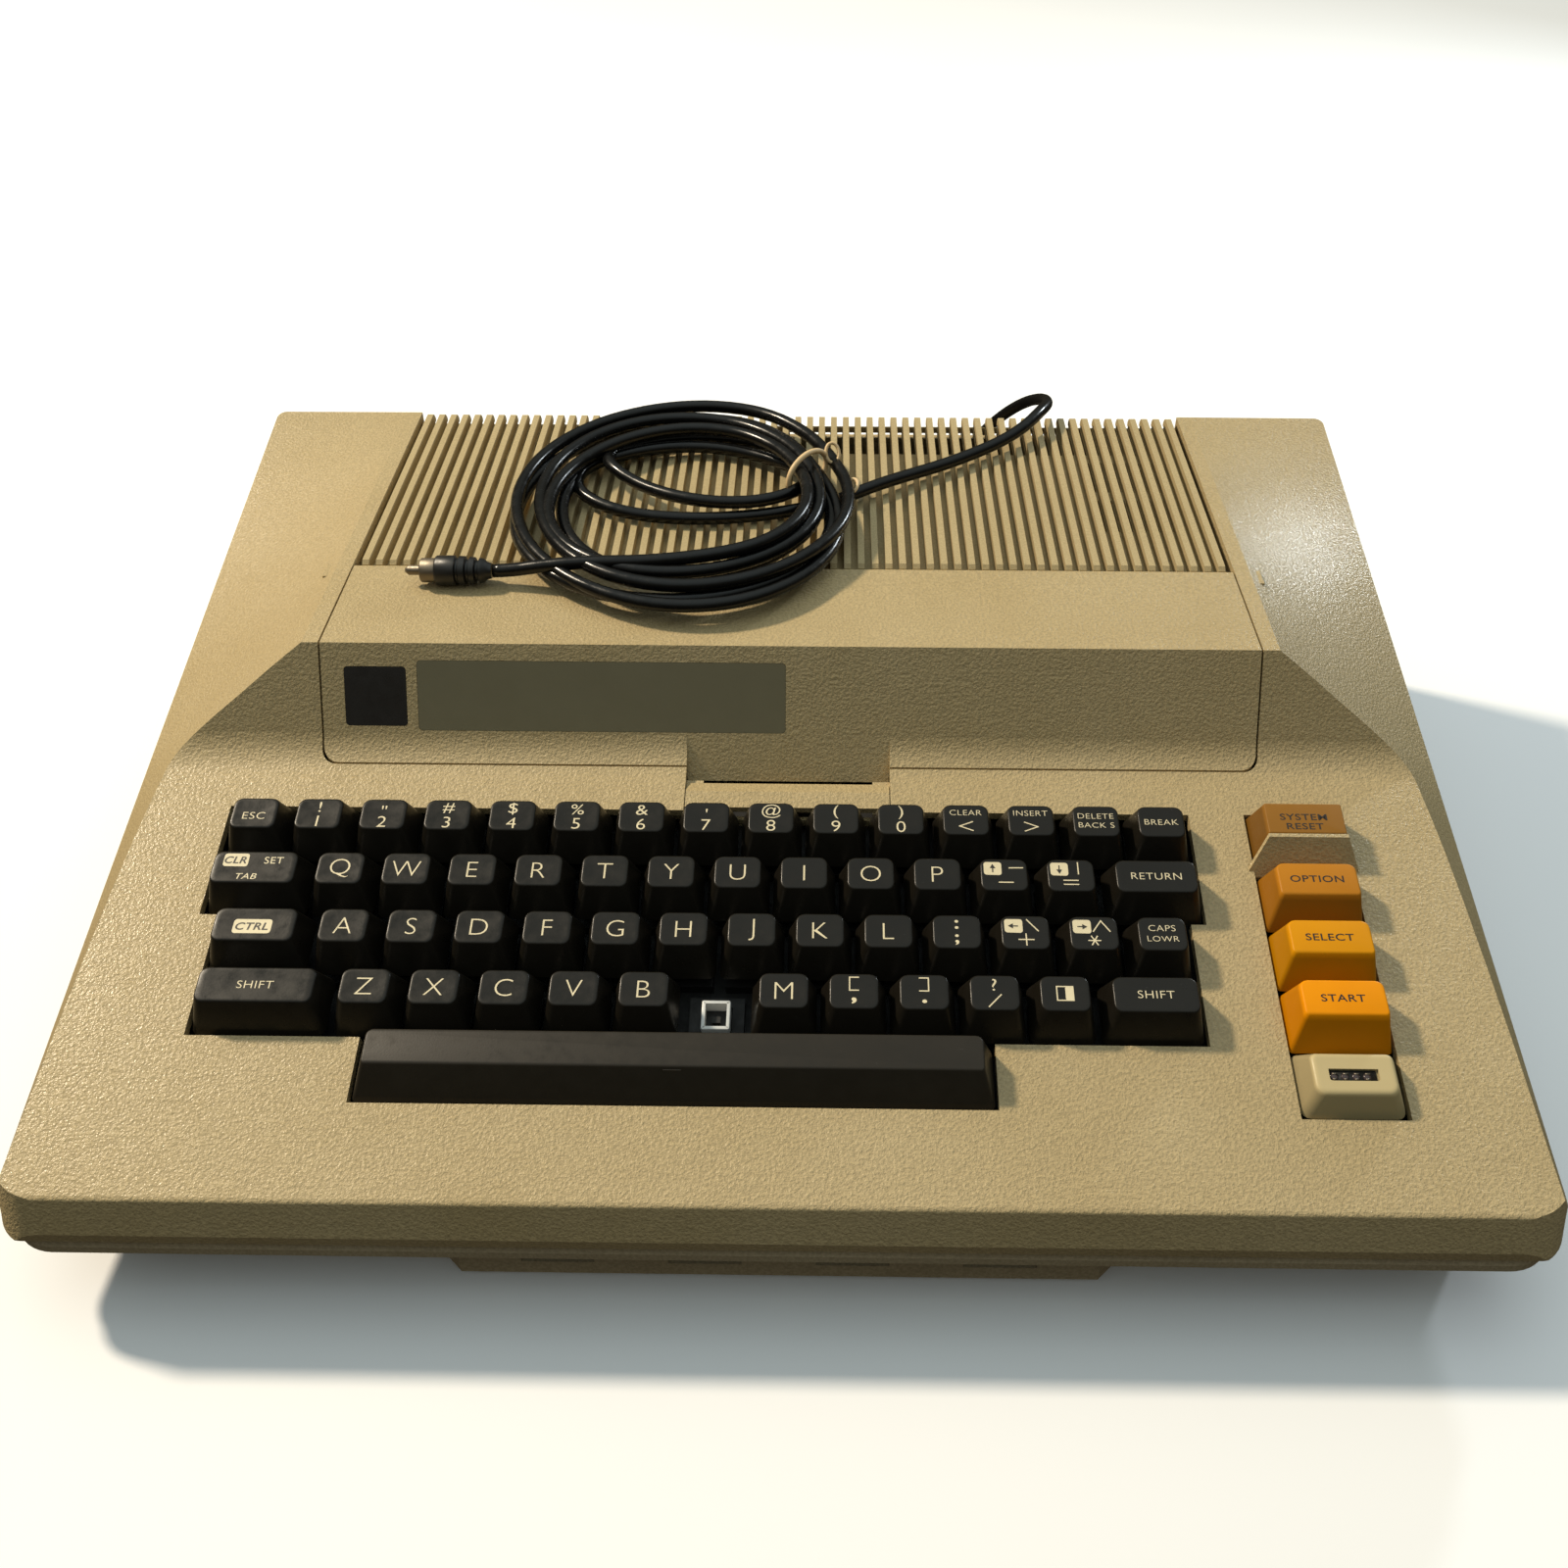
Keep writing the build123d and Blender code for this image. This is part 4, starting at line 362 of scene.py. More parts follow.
NODE_FINISH = {
    "case": ("top_case", "cartridge_door", "door_latch"),
    "vent": ("vent_cover",),
    "base": ("bottom_case", "cartridge_bay", "cartridge_guides", "vent_cover_lugs", "memory_modules"),
    "well": ("keyboard_plate", "key_switch_housings", "console_switch_board"),
    "plate": ("long_plate",),
    "dark plate": ("square_plate",),
    "black": ("vent_latch_left", "vent_latch_right", "side_jacks", "power_switch", "power_switch_frame",
              "channel_switch", "controller_jacks", "cartridge_sockets", "interlock_button"),
    "rubber": ("feet",),
    "cable": ("rf_strain_relief",),
    "steel": ("case_screws", "door_hinge_pins", "latch_spring"),
    "cast": ("shield_lower", "shield_upper"),
    "board": ("mainboard", "keyboard_circuit_board", "processor_board", "power_board"),
    "cone": ("speaker",),
}
SOFTENED = {  # widths of the rounded edges
    "top_case": 0.5, "cartridge_door": 0.6, "vent_cover": 0.22, "door_latch": 0.4, "bottom_case": 0.5,
    "long_plate": 0.3, "square_plate": 0.3, "power_switch": 0.4, "channel_switch": 0.3, "feet": 0.3,
}


FLAT_ANGLE = radians(0.5)
EDGE_ANGLE = radians(40)


def paint(obj, name):
    obj.data.materials.clear()
    obj.data.materials.append(MATERIALS[name])


def soften(obj, width):
    """Rounds the sharp edges of a frame node without changing its own mesh."""
    flat = obj.modifiers.new("flat faces", "DECIMATE")
    flat.decimate_type = "DISSOLVE"
    flat.angle_limit = FLAT_ANGLE
    bevel = obj.modifiers.new("soft edges", "BEVEL")
    bevel.width = width * MM
    bevel.segments = 2
    bevel.limit_method = "ANGLE"
    bevel.angle_limit = EDGE_ANGLE


# ---- mesh helpers
def linked(name, data):
    """A new object in the scene."""
    obj = bpy.data.objects.new(name, data)
    bpy.context.scene.collection.objects.link(obj)
    return obj


def mesh_of(curve):
    """The mesh of a curve or text, which is removed."""
    obj = linked("curve", curve)
    bpy.context.view_layer.update()
    mesh = bpy.data.meshes.new_from_object(obj.evaluated_get(bpy.context.evaluated_depsgraph_get()))
    bpy.data.objects.remove(obj)
    bpy.data.curves.remove(curve)
    return mesh


def from_bmesh(name, bm, material, matrix, smooth=True):
    """A new object from a bmesh in millimetres."""
    bm.transform(matrix)
    bmesh.ops.recalc_face_normals(bm, faces=bm.faces)
    mesh = bpy.data.meshes.new(name)
    bm.to_mesh(mesh)
    bm.free()
    mesh.polygons.foreach_set("use_smooth", [smooth] * len(mesh.polygons))
    mesh.materials.append(MATERIALS[material])
    return linked(name, mesh)


def add_block(bm, middle, size, z):
    """A plain block of a width and depth round a point of the deck, between two heights."""
    result = bmesh.ops.create_cube(bm, size=1)
    size = Matrix.Diagonal((*size, z[1] - z[0], 1))
    place = Matrix.Translation((*middle, (z[0] + z[1]) / 2))
    bmesh.ops.transform(bm, matrix=place @ size, verts=result["verts"])


def round_edges(bm, edges, radius, segments):
    bmesh.ops.bevel(bm, geom=edges, offset=radius, offset_type="OFFSET", segments=segments,
                    profile=0.5, affect="EDGES", material=-1, clamp_overlap=True)


def limits(verts):
    """The lowest and highest corner of some vertices, seen from above."""
    xs, ys = zip(*(v.co.xy for v in verts))
    return Vector((min(xs), min(ys), 0)), Vector((max(xs), max(ys), 0))


def widest(faces, side):
    """The largest of some faces among those that look up (side 1) or down (side -1)."""
    return max((f for f in faces if f.is_valid and f.normal.z * side > 0.9), key=lambda f: f.calc_area())


# ---- key caps
def cap_surface(bm, base, top, height, dish, corners, edge):
    """One hollow cap. base and top are (x, s, width, depth); corners are its front and rear radii."""
    verts = bmesh.ops.create_cube(bm, size=1)["verts"]
    for side, (x, s, width, depth), z in ((-1, base, KEY_FOOT), (1, top, height)):
        place = Matrix.Translation((x, s, z)) @ Matrix.Diagonal((width, depth, 0, 1))
        bmesh.ops.transform(bm, matrix=place, verts=[v for v in verts if v.co.z * side == 0.5])
    old = set(bm.verts) - set(verts)
    for side, radius in zip((-1, 1), corners):
        uprights = [e for v in verts if v.is_valid for e in v.link_edges
                    if abs(e.verts[0].co.z - e.verts[1].co.z) > height
                    and all((w.co.y - base[1]) * side > 0 for w in e.verts)]
        round_edges(bm, list(set(uprights)), radius, CORNER_STEPS)
    bm.normal_update()
    mine = [f for f in bm.faces if f.verts[0] not in old]
    round_edges(bm, list(widest(mine, 1).edges), edge, EDGE_STEPS)
    bm.normal_update()
    mine = [f for f in bm.faces if f.verts[0] not in old]
    if dish:
        hollow_top(bm, widest(mine, 1), dish)
    hollow_inside(bm, widest(mine, -1), base, top, height - KEY_WALL - dish)


def hollow_top(bm, face, dish):
    """Hollows a key top: rings round its middle, sunk most at the middle and not at all at the rim."""
    low, high = limits(face.verts)
    middle = (low + high) / 2
    half = high - middle
    share = 1.0
    for ring in DISH_RINGS:
        face = draw_in(bm, face, middle, (ring / share, ring / share))
        share = ring
        for vert in face.verts:
            across, along = (vert.co.x - middle.x) / half.x, (vert.co.y - middle.y) / half.y
            vert.co.z = KEY_HEIGHT - dish * (1 - across ** 2) * (1 - along ** 2)


def draw_in(bm, face, middle, shrink):
    """Draws a face in towards a middle; returns the new face inside the ring that this leaves."""
    face = bmesh.ops.extrude_discrete_faces(bm, faces=[face])["faces"][0]
    bmesh.ops.scale(bm, vec=(*shrink, 1), space=Matrix.Translation(-middle), verts=face.verts)
    return face


def hollow_inside(bm, face, base, top, ceiling):
    """Takes the inside out of a cap through its underside."""
    bmesh.ops.inset_individual(bm, faces=[face], thickness=KEY_WALL, depth=0)
    inner = bmesh.ops.extrude_discrete_faces(bm, faces=[face])["faces"][0]
    shrink = [(t - KEY_WALL) / (b - 2 * KEY_WALL) for b, t in zip(base[2:], top[2:])]
    place = Matrix.Translation((top[0], top[1], ceiling)) @ Matrix.Diagonal((*shrink, 1, 1))
    origin = Matrix.Translation((-base[0], -base[1], -KEY_FOOT))
    bmesh.ops.transform(bm, matrix=place @ origin, verts=inner.verts)


def add_plunger(bm, middle):
    for size, heights in (POST, STEM):
        add_block(bm, middle, size, heights)


WIDE_KEYS = {  # row, left and right end
    "tab_key": (1, -166.9, -138.1),
    "return_key": (1, 92.4, 120.0),
    "control_key": (2, -161.8, -134.2),
    "shift_key_left": (3, -161.7, -125.0),
    "shift_key_right": (3, 87.6, 115.4),
}
SQUARE_KEYS = {  # row, places in the row
    "escape_key": (0, [0]),
    "delete_key": (0, [13]),
    "break_key": (0, [14]),
    "caps_key": (2, [12]),
    "symbol_key": (3, [10]),
    "number_keys": (0, range(1, 13)),
    "upper_letter_keys": (1, range(0, 12)),
    "home_letter_keys": (2, range(0, 12)),
    "lower_letter_keys": (3, [0, 1, 2, 3, 4, 6, 7, 8, 9]),
}
CAP_TREES = {}


def body_of_node(node):
    """Name of the body that a frame node belongs to."""
    bodies = frame["record"]["behaviour"]["bodies"]
    return next(body for body, nodes in bodies.items() if node in nodes)


def finish_cap(name, bm, material, matrix, node, angle=CRISP):
    """The finished object of a cap or fitting, which takes a node's place on that node's body."""
    obj = from_bmesh(name, bm, material, matrix)
    mark_sharp(obj, angle)
    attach(obj, body_of_node(node))
    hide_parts(node)
    return obj


def finish_key(name, bm, material):
    CAP_TREES[name] = BVHTree.FromBMesh(bm)
    finish_cap(name + "_cap", bm, material, DECK, name)


def mark_sharp(obj, angle):
    """Keeps edges crisp where faces turn by more than an angle."""
    bm = bmesh.new()
    bm.from_mesh(obj.data)
    for edge in bm.edges:
        if len(edge.link_faces) == 2 and edge.calc_face_angle() > radians(angle):
            edge.smooth = False
    bm.to_mesh(obj.data)
    bm.free()


def row_x(row, index):
    return ROW_X[row] + index * KEY_PITCH


def key_caps():
    """For each key node, the middle and width of its caps: (x, s, width)."""
    caps = {}
    for name, (row, left, right) in WIDE_KEYS.items():
        caps[name] = [((left + right) / 2, ROW_S[row], right - left)]
    for name, (row, places) in SQUARE_KEYS.items():
        caps[name] = [(row_x(row, place), ROW_S[row], KEY_BASE) for place in places]
    return caps


def make_keys():
    for name, caps in key_caps().items():
        bm = bmesh.new()
        for x, s, width in caps:
            base = (x, s, width, KEY_BASE)
            top = (x, s + KEY_TOP_SHIFT, width - KEY_BASE + KEY_TOP[0], KEY_TOP[1])
            cap_surface(bm, base, top, KEY_HEIGHT, looks().dish / MM, KEY_CORNERS, KEY_EDGE)
            add_plunger(bm, (x, s))
        finish_key(name, bm, "key")
    make_space_bar()


SPACE_BAR = (-28.3, 37.1, 171.2, 18.0)
SPACE_TOP = (-28.3, 40.0, 164.8, 10.0)
SPACE_HEIGHT = 8.0
SPACE_CORNERS = (0.9, 2.0)
GUIDE = ((3.0, 3.0), (-7.0, 6.5))  # size and heights of the posts near its ends
GUIDE_OFFSET = 3 * KEY_PITCH


def make_space_bar():
    bm = bmesh.new()
    cap_surface(bm, SPACE_BAR, SPACE_TOP, SPACE_HEIGHT, 0.0, SPACE_CORNERS, KEY_EDGE)
    x, s = SPACE_BAR[:2]
    add_plunger(bm, (x, s))
    for side in (-1, 1):
        add_block(bm, (x + side * GUIDE_OFFSET, s), *GUIDE)
    finish_key("space_bar", bm, "bar")


# ---- console keys
CONSOLE_KEYS = {  # s, depth, finish, radii of uprights, radius of the top's edge, words and their rise
    "reset_key": (113.2, 19.0, "amber", (0.4, 0.5), 0.3, (("SYSTEM", 0.4), ("RESET", -2.9))),
    "option_key": (92.6, 18.2, "tan", (1.0, 2.2), 0.5, (("OPTION", -0.1),)),
    "select_key": (73.6, 18.2, "yellow", (1.0, 2.2), 0.5, (("SELECT", -0.3),)),
    "start_key": (54.6, 18.2, "orange", (1.0, 2.2), 0.5, (("START", -0.3),)),
}
CONSOLE_X = 151.7
CONSOLE_WIDTH = 27.8
CONSOLE_TOP = (152.25, 22.5, 10.4)  # x, width, depth
CONSOLE_REAR_STEP = 1.3


def console_top_s(s, depth):
    """Middle of the top of a console key, which lies towards the key's rear."""
    return s + depth / 2 - CONSOLE_REAR_STEP - CONSOLE_TOP[2] / 2


def make_console_keys():
    for name, (s, depth, finish, corners, edge, _) in CONSOLE_KEYS.items():
        bm = bmesh.new()
        top = (CONSOLE_TOP[0], console_top_s(s, depth), *CONSOLE_TOP[1:])
        cap_surface(bm, (CONSOLE_X, s, CONSOLE_WIDTH, depth), top, KEY_HEIGHT, 0.0, corners, edge)
        add_plunger(bm, (CONSOLE_X, s))
        finish_key(name, bm, finish)


# ---- legends
def text_mesh(text, size, stretch, thin):
    """A flat mesh of text in millimetres, centred on the origin."""
    curve = bpy.data.curves.new("legend", "FONT")
    curve.body = text
    curve.size = size
    curve.space_character = LETTER_SPACE
    curve.offset = -thin
    curve.resolution_u = 4
    mesh = mesh_of(curve)
    mesh.transform(Matrix.Diagonal((stretch, 1, 1, 1)))
    low, high = limits(mesh.vertices)
    mesh.transform(Matrix.Translation(-(low + high) / 2))
    return mesh


def leaning(share):
    """Shears flat shapes to the right by a share of their height."""
    matrix = Matrix.Identity(4)
    matrix[0][1] = share
    return matrix


LETTER = (7.9, 1.06, 0.15)  # size, stretch, how much thinner
UPPER_SIGN = (5.1, 1.2, 0.02)
LOWER_SIGN = (5.8, 1.1, 0.05)
CONSOLE_WORD = (3.1, 1.28, -0.03)
STROKE = 0.36  # width
ARROW_STROKE = 0.34
ARROW_PANEL = (5.1, 4.3, 0.8)


class Legends:
    """Collects the legends of one key body and makes them one object."""

    def __init__(self, node, ink):
        self.node = node
        self.ink = ink
        self.bm = bmesh.new()
        self.over = bmesh.new()

    def lie(self, bm, verts, x, s):
        """Moves flat shapes to the place x, s and lays them on the key's top, or over its panels."""
        bmesh.ops.translate(bm, verts=verts, vec=(x, s, 0))
        trees = [CAP_TREES[self.node]]
        if bm is self.over:
            trees.insert(0, BVHTree.FromBMesh(self.bm))
        for vert in verts:
            above = Vector((vert.co.x, vert.co.y, 2 * KEY_HEIGHT))
            hits = [tree.ray_cast(above, Vector((0, 0, -1)))[0] for tree in trees]
            vert.co.z = next(hit.z for hit in hits if hit) + PAINT

    def word(self, text, x, s, size, stretch=1.15, thin=0.03, over=False, lean=0.0):
        """A word on the cap, or over its panel."""
        bm = self.over if over else self.bm
        mesh = text_mesh(text, size, stretch, thin)
        mesh.transform(leaning(lean))
        known = set(bm.verts)
        bm.from_mesh(mesh)
        bpy.data.meshes.remove(mesh)
        self.lie(bm, [v for v in bm.verts if v not in known], x, s)

    def panel(self, x, s, width, depth, radius):
        """A light box with rounded corners, for letters reversed out of it."""
        grid = bmesh.ops.create_grid(self.bm, x_segments=6, y_segments=3, size=0.5)["verts"]
        bmesh.ops.transform(self.bm, matrix=Matrix.Diagonal((width, depth, 1, 1)), verts=grid)
        corners = [v for v in grid if len(v.link_edges) == 2]
        known = set(self.bm.verts) - set(grid)
        bmesh.ops.bevel(self.bm, geom=corners, offset=radius, offset_type="OFFSET", segments=3, profile=0.5,
                        affect="VERTICES", material=-1)
        self.lie(self.bm, [v for v in self.bm.verts if v not in known], x, s)

    def stroke(self, x, s, points, width=STROKE, over=False):
        """A line of even width through points."""
        bm = self.over if over else self.bm
        for start, end in zip(points, points[1:]):
            along = Vector(end) - Vector(start)
            middle = (Vector(end) + Vector(start)) / 2
            verts = bmesh.ops.create_grid(bm, x_segments=1, y_segments=1, size=0.5)["verts"]
            turn = Matrix.Rotation(atan2(along.y, along.x), 4, "Z")
            size = Matrix.Diagonal((along.length + width, width, 1, 1))
            bmesh.ops.transform(bm, matrix=Matrix.Translation((*middle, 0)) @ turn @ size, verts=verts)
            self.lie(bm, verts, x, s)

    def arrow(self, x, s, turn):
        """A small arrow reversed out of a light panel."""
        ahead = Vector((cos(turn), sin(turn)))
        self.panel(x, s, *ARROW_PANEL)
        self.stroke(x, s, [-1.1 * ahead, 0.5 * ahead], ARROW_STROKE, over=True)
        head = bmesh.ops.create_circle(self.over, cap_ends=True, segments=3, radius=0.95)["verts"]
        place = Matrix.Translation((*(0.6 * ahead), 0)) @ Matrix.Rotation(turn - pi / 2, 4, "Z")
        bmesh.ops.transform(self.over, matrix=place, verts=head)
        self.lie(self.over, head, x, s)

    def make(self):
        for bm, ink, suffix in ((self.bm, self.ink, "_legend"), (self.over, "dark ink", "_legend_dark")):
            if not bm.verts:
                bm.free()
                continue
            obj = from_bmesh(self.node + suffix, bm, ink, DECK, smooth=False)
            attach(obj, body_of_node(self.node))


PAIRS = {"number_keys": ("!\"#$%&'@()", "1234567890")}
LETTERS = {"upper_letter_keys": "QWERTYUIOP", "home_letter_keys": "ASDFGHJKL", "lower_letter_keys": "ZXCVBM"}
ARROWS = {"upper_letter_keys": ((10, pi / 2), (11, -pi / 2)), "home_letter_keys": ((10, pi), (11, 0))}
ARROW_PLACE = (-3.2, 2.0)
WORDS = {  # number of the cap, text, place on the cap, size, stretch, how much thinner, over a panel, lean
    "number_keys": ((10, "CLEAR", 0, 2.5, 2.7), (11, "INSERT", 0, 2.5, 2.7)),
    "home_letter_keys": ((9, ":", 0, 2.3, 5.6, 1.2, -0.1), (9, ";", 0, -2.6, 5.6, 1.2, -0.1)),
    "lower_letter_keys": ((6, ",", 0, -2.9, 6.4, 1.2, -0.16), (7, ".", 0, -2.9, 6.4, 1.2, -0.16),
                          (8, "?", 0, 2.4, 5.1, 1.2, 0.02)),
    "escape_key": ((0, "ESC", 0, -1.0, 3.6),),
    "delete_key": ((0, "DELETE", 0, 1.7, 2.7), (0, "BACK S", 0, -1.5, 2.7)),
    "break_key": ((0, "BREAK", 0, -0.2, 2.85),),
    "return_key": ((0, "RETURN", 0, 0, 3.3),),
    "caps_key": ((0, "CAPS", 0, 1.8, 2.8), (0, "LOWR", 0, -1.6, 2.6)),
    "shift_key_left": ((0, "SHIFT", 0, 0, 3.4),),
    "shift_key_right": ((0, "SHIFT", 0, 0, 3.4),),
    "tab_key": ((0, "CLR", -5.6, 2.3, 3.2, 1.1, -0.06, True, ITALIC), (0, "SET", 5.3, 2.3, 3.2, 1.1, 0),
                (0, "TAB", -1.6, -3.2, 2.9, 1.15, 0.0, False, ITALIC)),
    "control_key": ((0, "CTRL", -0.4, -0.7, 3.3, 1.15, -0.06, True, ITALIC),),
}
PANELS = {  # place on the cap, width, depth, radius
    "tab_key": (-5.6, 2.3, 7.2, 4.3, 0.8),
    "control_key": (-0.4, -0.7, 10.8, 4.6, 0.9),
    "symbol_key": (1.1, 0.0, 2.0, 4.0, 0.45),
}
STAR = [(11, [(-1.6 * cos(turn), -2.4 - 1.6 * sin(turn)), (1.6 * cos(turn), -2.4 + 1.6 * sin(turn))])
        for turn in (0.0, pi / 3, 2 * pi / 3)]
STROKES = {  # number of the cap, points of the stroke
    "number_keys": [
        (10, [(1.9, -0.7), (-1.9, -2.3), (1.9, -3.9)]), (11, [(-1.9, -0.7), (1.9, -2.3), (-1.9, -3.9)])],
    "upper_letter_keys": [
        (10, [(1.6, 2.3), (5.4, 2.3)]), (10, [(-1.5, -2.6), (2.4, -2.6)]),
        (11, [(2.2, 4.2), (2.2, 0.5)]), (11, [(-2.1, -1.7), (1.9, -1.7)]), (11, [(-2.1, -3.1), (1.9, -3.1)])],
    "home_letter_keys": [
        (10, [(0.6, 4.0), (3.6, 0.5)]), (10, [(-1.9, -2.3), (2.2, -2.3)]), (10, [(0.15, -0.5), (0.15, -4.1)]),
        (11, [(-0.1, 0.6), (2.2, 3.9), (4.5, 0.6)]), *STAR],
    "lower_letter_keys": [
        (6, [(1.2, 4.2), (-1.2, 4.2), (-1.2, 0.3), (1.2, 0.3)]),
        (7, [(-1.2, 4.2), (1.2, 4.2), (1.2, 0.3), (-1.2, 0.3)]), (8, [(-1.7, -4.3), (1.7, -0.6)])],
    "symbol_key": [(0, [(-2.2, -2.1), (2.2, -2.1), (2.2, 2.1), (-2.2, 2.1), (-2.2, -2.1)])],
}


def key_legends(node, places):
    """Legends of a key node whose caps have their tops' middles at places."""
    legends = Legends(node, "cream ink")
    for (x, s), text in zip(places, LETTERS.get(node, "")):
        legends.word(text, x, s - 0.1, *LETTER)
    for (x, s), upper, lower in zip(places, *PAIRS.get(node, ("", ""))):
        legends.word(upper, x, s + 2.3, *UPPER_SIGN)
        legends.word(lower, x, s - 2.75, *LOWER_SIGN)
    for place, turn in ARROWS.get(node, ()):
        x, s = places[place]
        legends.arrow(x + ARROW_PLACE[0], s + ARROW_PLACE[1], turn)
    for place, points in STROKES.get(node, ()):
        legends.stroke(*places[place], points)
    if node in PANELS:
        along, rise, *shape = PANELS[node]
        legends.panel(places[0][0] + along, places[0][1] + rise, *shape)
    for place, text, along, rise, *shape in WORDS.get(node, ()):
        x, s = places[place]
        legends.word(text, x + along, s + rise, *shape)
    legends.make()


def make_legends():
    for node, caps in key_caps().items():
        key_legends(node, [(x, s + KEY_TOP_SHIFT) for x, s, _ in caps])
    for node, (s, depth, *_, words) in CONSOLE_KEYS.items():
        legends = Legends(node, "brown ink")
        for text, rise in words:
            legends.word(text, CONSOLE_TOP[0] - 0.5, console_top_s(s, depth) + rise, *CONSOLE_WORD)
        legends.make()


# ---- antenna cable
REAR_RUN = [
    (60, 335, 45), (60, 345.5, 45), (61, 353.5, 52), (64, 356, 64.5), (69, 353.5, 78.5),
    (76, 347.5, 91.5), (83.5, 341, 102.5), (90.5, 334, 110.5), (95, 325, 115.5), (95.5, 314.5, 118.5),
    (91, 303, 120.5), (84.5, 292.5, 119.5), (75.5, 283.5, 118), (64, 274.8, 117), (51.5, 266, 116.6),
    (39, 258, 116.8), (27, 249.2, 117.2),
]
PLUG_RUN = [
    (-44, 186.5, 123.5), (-66, 188.2, 122.2), (-81, 190, 119.4), (-89.5, 191, 117.3), (-95.6, 191.3, 116.9),
]
INSIDE = [  # the loose turn inside the coil
    (14, 241, 115.6), (-2, 234, 115.4), (-20, 229.5, 115.4), (-38, 228.5, 115.4), (-55, 231, 115.6),
    (-68, 237, 116.2), (-77, 247.5, 117), (-76, 261, 117.2), (-64, 272, 117.2), (-46, 279, 117.2),
    (-27, 278, 117.2), (-10, 270, 117.4), (3, 257, 118.6), (4, 243, 120.2), (-8, 233.5, 120),
    (-24, 231.5, 119.8), (-40, 236, 119.5), (-55, 246.5, 118.8), (-67, 258, 121.2),
]
TURNS = 5.62
TURN_START = 2.35  # angle at which the coil begins
TURN_POINTS = 16
COIL_MIDDLE = (-36.0, 236.5)
COIL_INNER = (43.5, 48.0)  # half width and half depth of the innermost turn
COIL_SPREAD = (16.5, 21.0)  # how much more the outermost turn has
COIL_BOTTOM = 117.4
LAYER = 4.0
LAYER_TURNS = (2.8, 5.2)  # turns at which the coil climbs by a layer
TIE_ANGLE = 0.45
TIE_REACH = 0.6
TIE_LIFT = 3.0


def turn_wave(turn):
    """How far out a turn lies, from 0 to 1: the coil goes out, in and out again as it climbs."""
    return 0.5 - 0.5 * cos(pi * turn / 2.7)


def turn_height(turn, angle):
    layers = sum(1 / (1 + exp(-7 * (turn - start))) for start in LAYER_TURNS)
    lift = TIE_LIFT * gathered(angle) * (0.5 + 0.5 * cos(pi * turn))
    return COIL_BOTTOM + LAYER * layers + lift


def gathered(angle):
    """How far the tie draws the turns in towards each other, from 0 to 1."""
    apart = (angle - TIE_ANGLE + pi) % (2 * pi) - pi
    return exp(-(apart / TIE_REACH) ** 2)


def coil_points():
    """Points of the coil, clockwise from above. The loose turns drift as they pile up."""
    points = []
    for k in range(round(TURNS * TURN_POINTS)):
        turn = k / TURN_POINTS
        angle = TURN_START - 2 * pi * turn
        x = COIL_MIDDLE[0] + 2.6 * sin(2.3 * turn)
        y = COIL_MIDDLE[1] + 3.2 * cos(1.9 * turn)
        wave = turn_wave(turn)
        a, b = (inner + spread * wave for inner, spread in zip(COIL_INNER, COIL_SPREAD))
        ripple = 1 + 0.02 * sin(3 * angle + 1.9 * turn) - (0.05 + 0.12 * wave) * gathered(angle)
        points.append((x + a * ripple * cos(angle), y + b * ripple * sin(angle), turn_height(turn, angle)))
    return points


def curve_mesh(line, radius=0.0, closed=False):
    """A mesh of the smooth line with these control points, or of the round tube along it."""
    curve = bpy.data.curves.new("line", "CURVE")
    curve.dimensions = "3D"
    curve.resolution_u = 5
    curve.bevel_depth = radius
    curve.bevel_resolution = looks().cable_sides // 2 - 2
    curve.use_fill_caps = True
    spline = curve.splines.new("NURBS")
    spline.points.add(len(line) - 1)
    for target, point in zip(spline.points, line):
        target.co = (*point, 1)
    spline.order_u = 3
    spline.use_endpoint_u = not closed
    spline.use_cyclic_u = closed
    return mesh_of(curve)


def tube_object(name, mesh, material):
    """A new object from a tube's mesh, welded and turned outwards."""
    bm = bmesh.new()
    bm.from_mesh(mesh)
    bpy.data.meshes.remove(mesh)
    bmesh.ops.remove_doubles(bm, verts=bm.verts, dist=0.00001)
    return from_bmesh(name, bm, material, Matrix.Identity(4))


def make_cable():
    """The antenna cable as one tube, from the strain relief round the coil to the plug."""
    diameter = looks().cable
    route = [put(point) for point in REAR_RUN + INSIDE + coil_points() + PLUG_RUN]
    bare = curve_mesh(route)
    line = [v.co.copy() for v in bare.vertices]
    bpy.data.meshes.remove(bare)
    cable = tube_object("antenna_cable", curve_mesh(route, diameter / 2), "cable")
    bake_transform(cable)
    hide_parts("rf_cable_rear_run", "rf_cable_coil", "rf_cable_plug_run")
    length = sum((b - a).length for a, b in zip(line, line[1:]))
    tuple(line[0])
    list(make_plug())
    print("cable length", round(length, 3))


LOOP_POINTS = 16
TIE = (  # centre, two directions, radii along them, half thickness
    ("cable_tie", (4.4, 249.5, 122.6), (0.62, 0.78, 0), (0, 0, 1), (10.5, 7.0), 0.95),
    ("cable_tie_loop_a", (13.0, 258.0, 125.5), (0.9, 0.1, -0.2), (0.0, 0.6, 0.7), (2.6, 3.8), 0.6),
    ("cable_tie_loop_b", (19.5, 243.0, 120.5), (0.9, 0.2, 0.3), (0.0, 0.9, 0.3), (2.6, 3.4), 0.6),
)


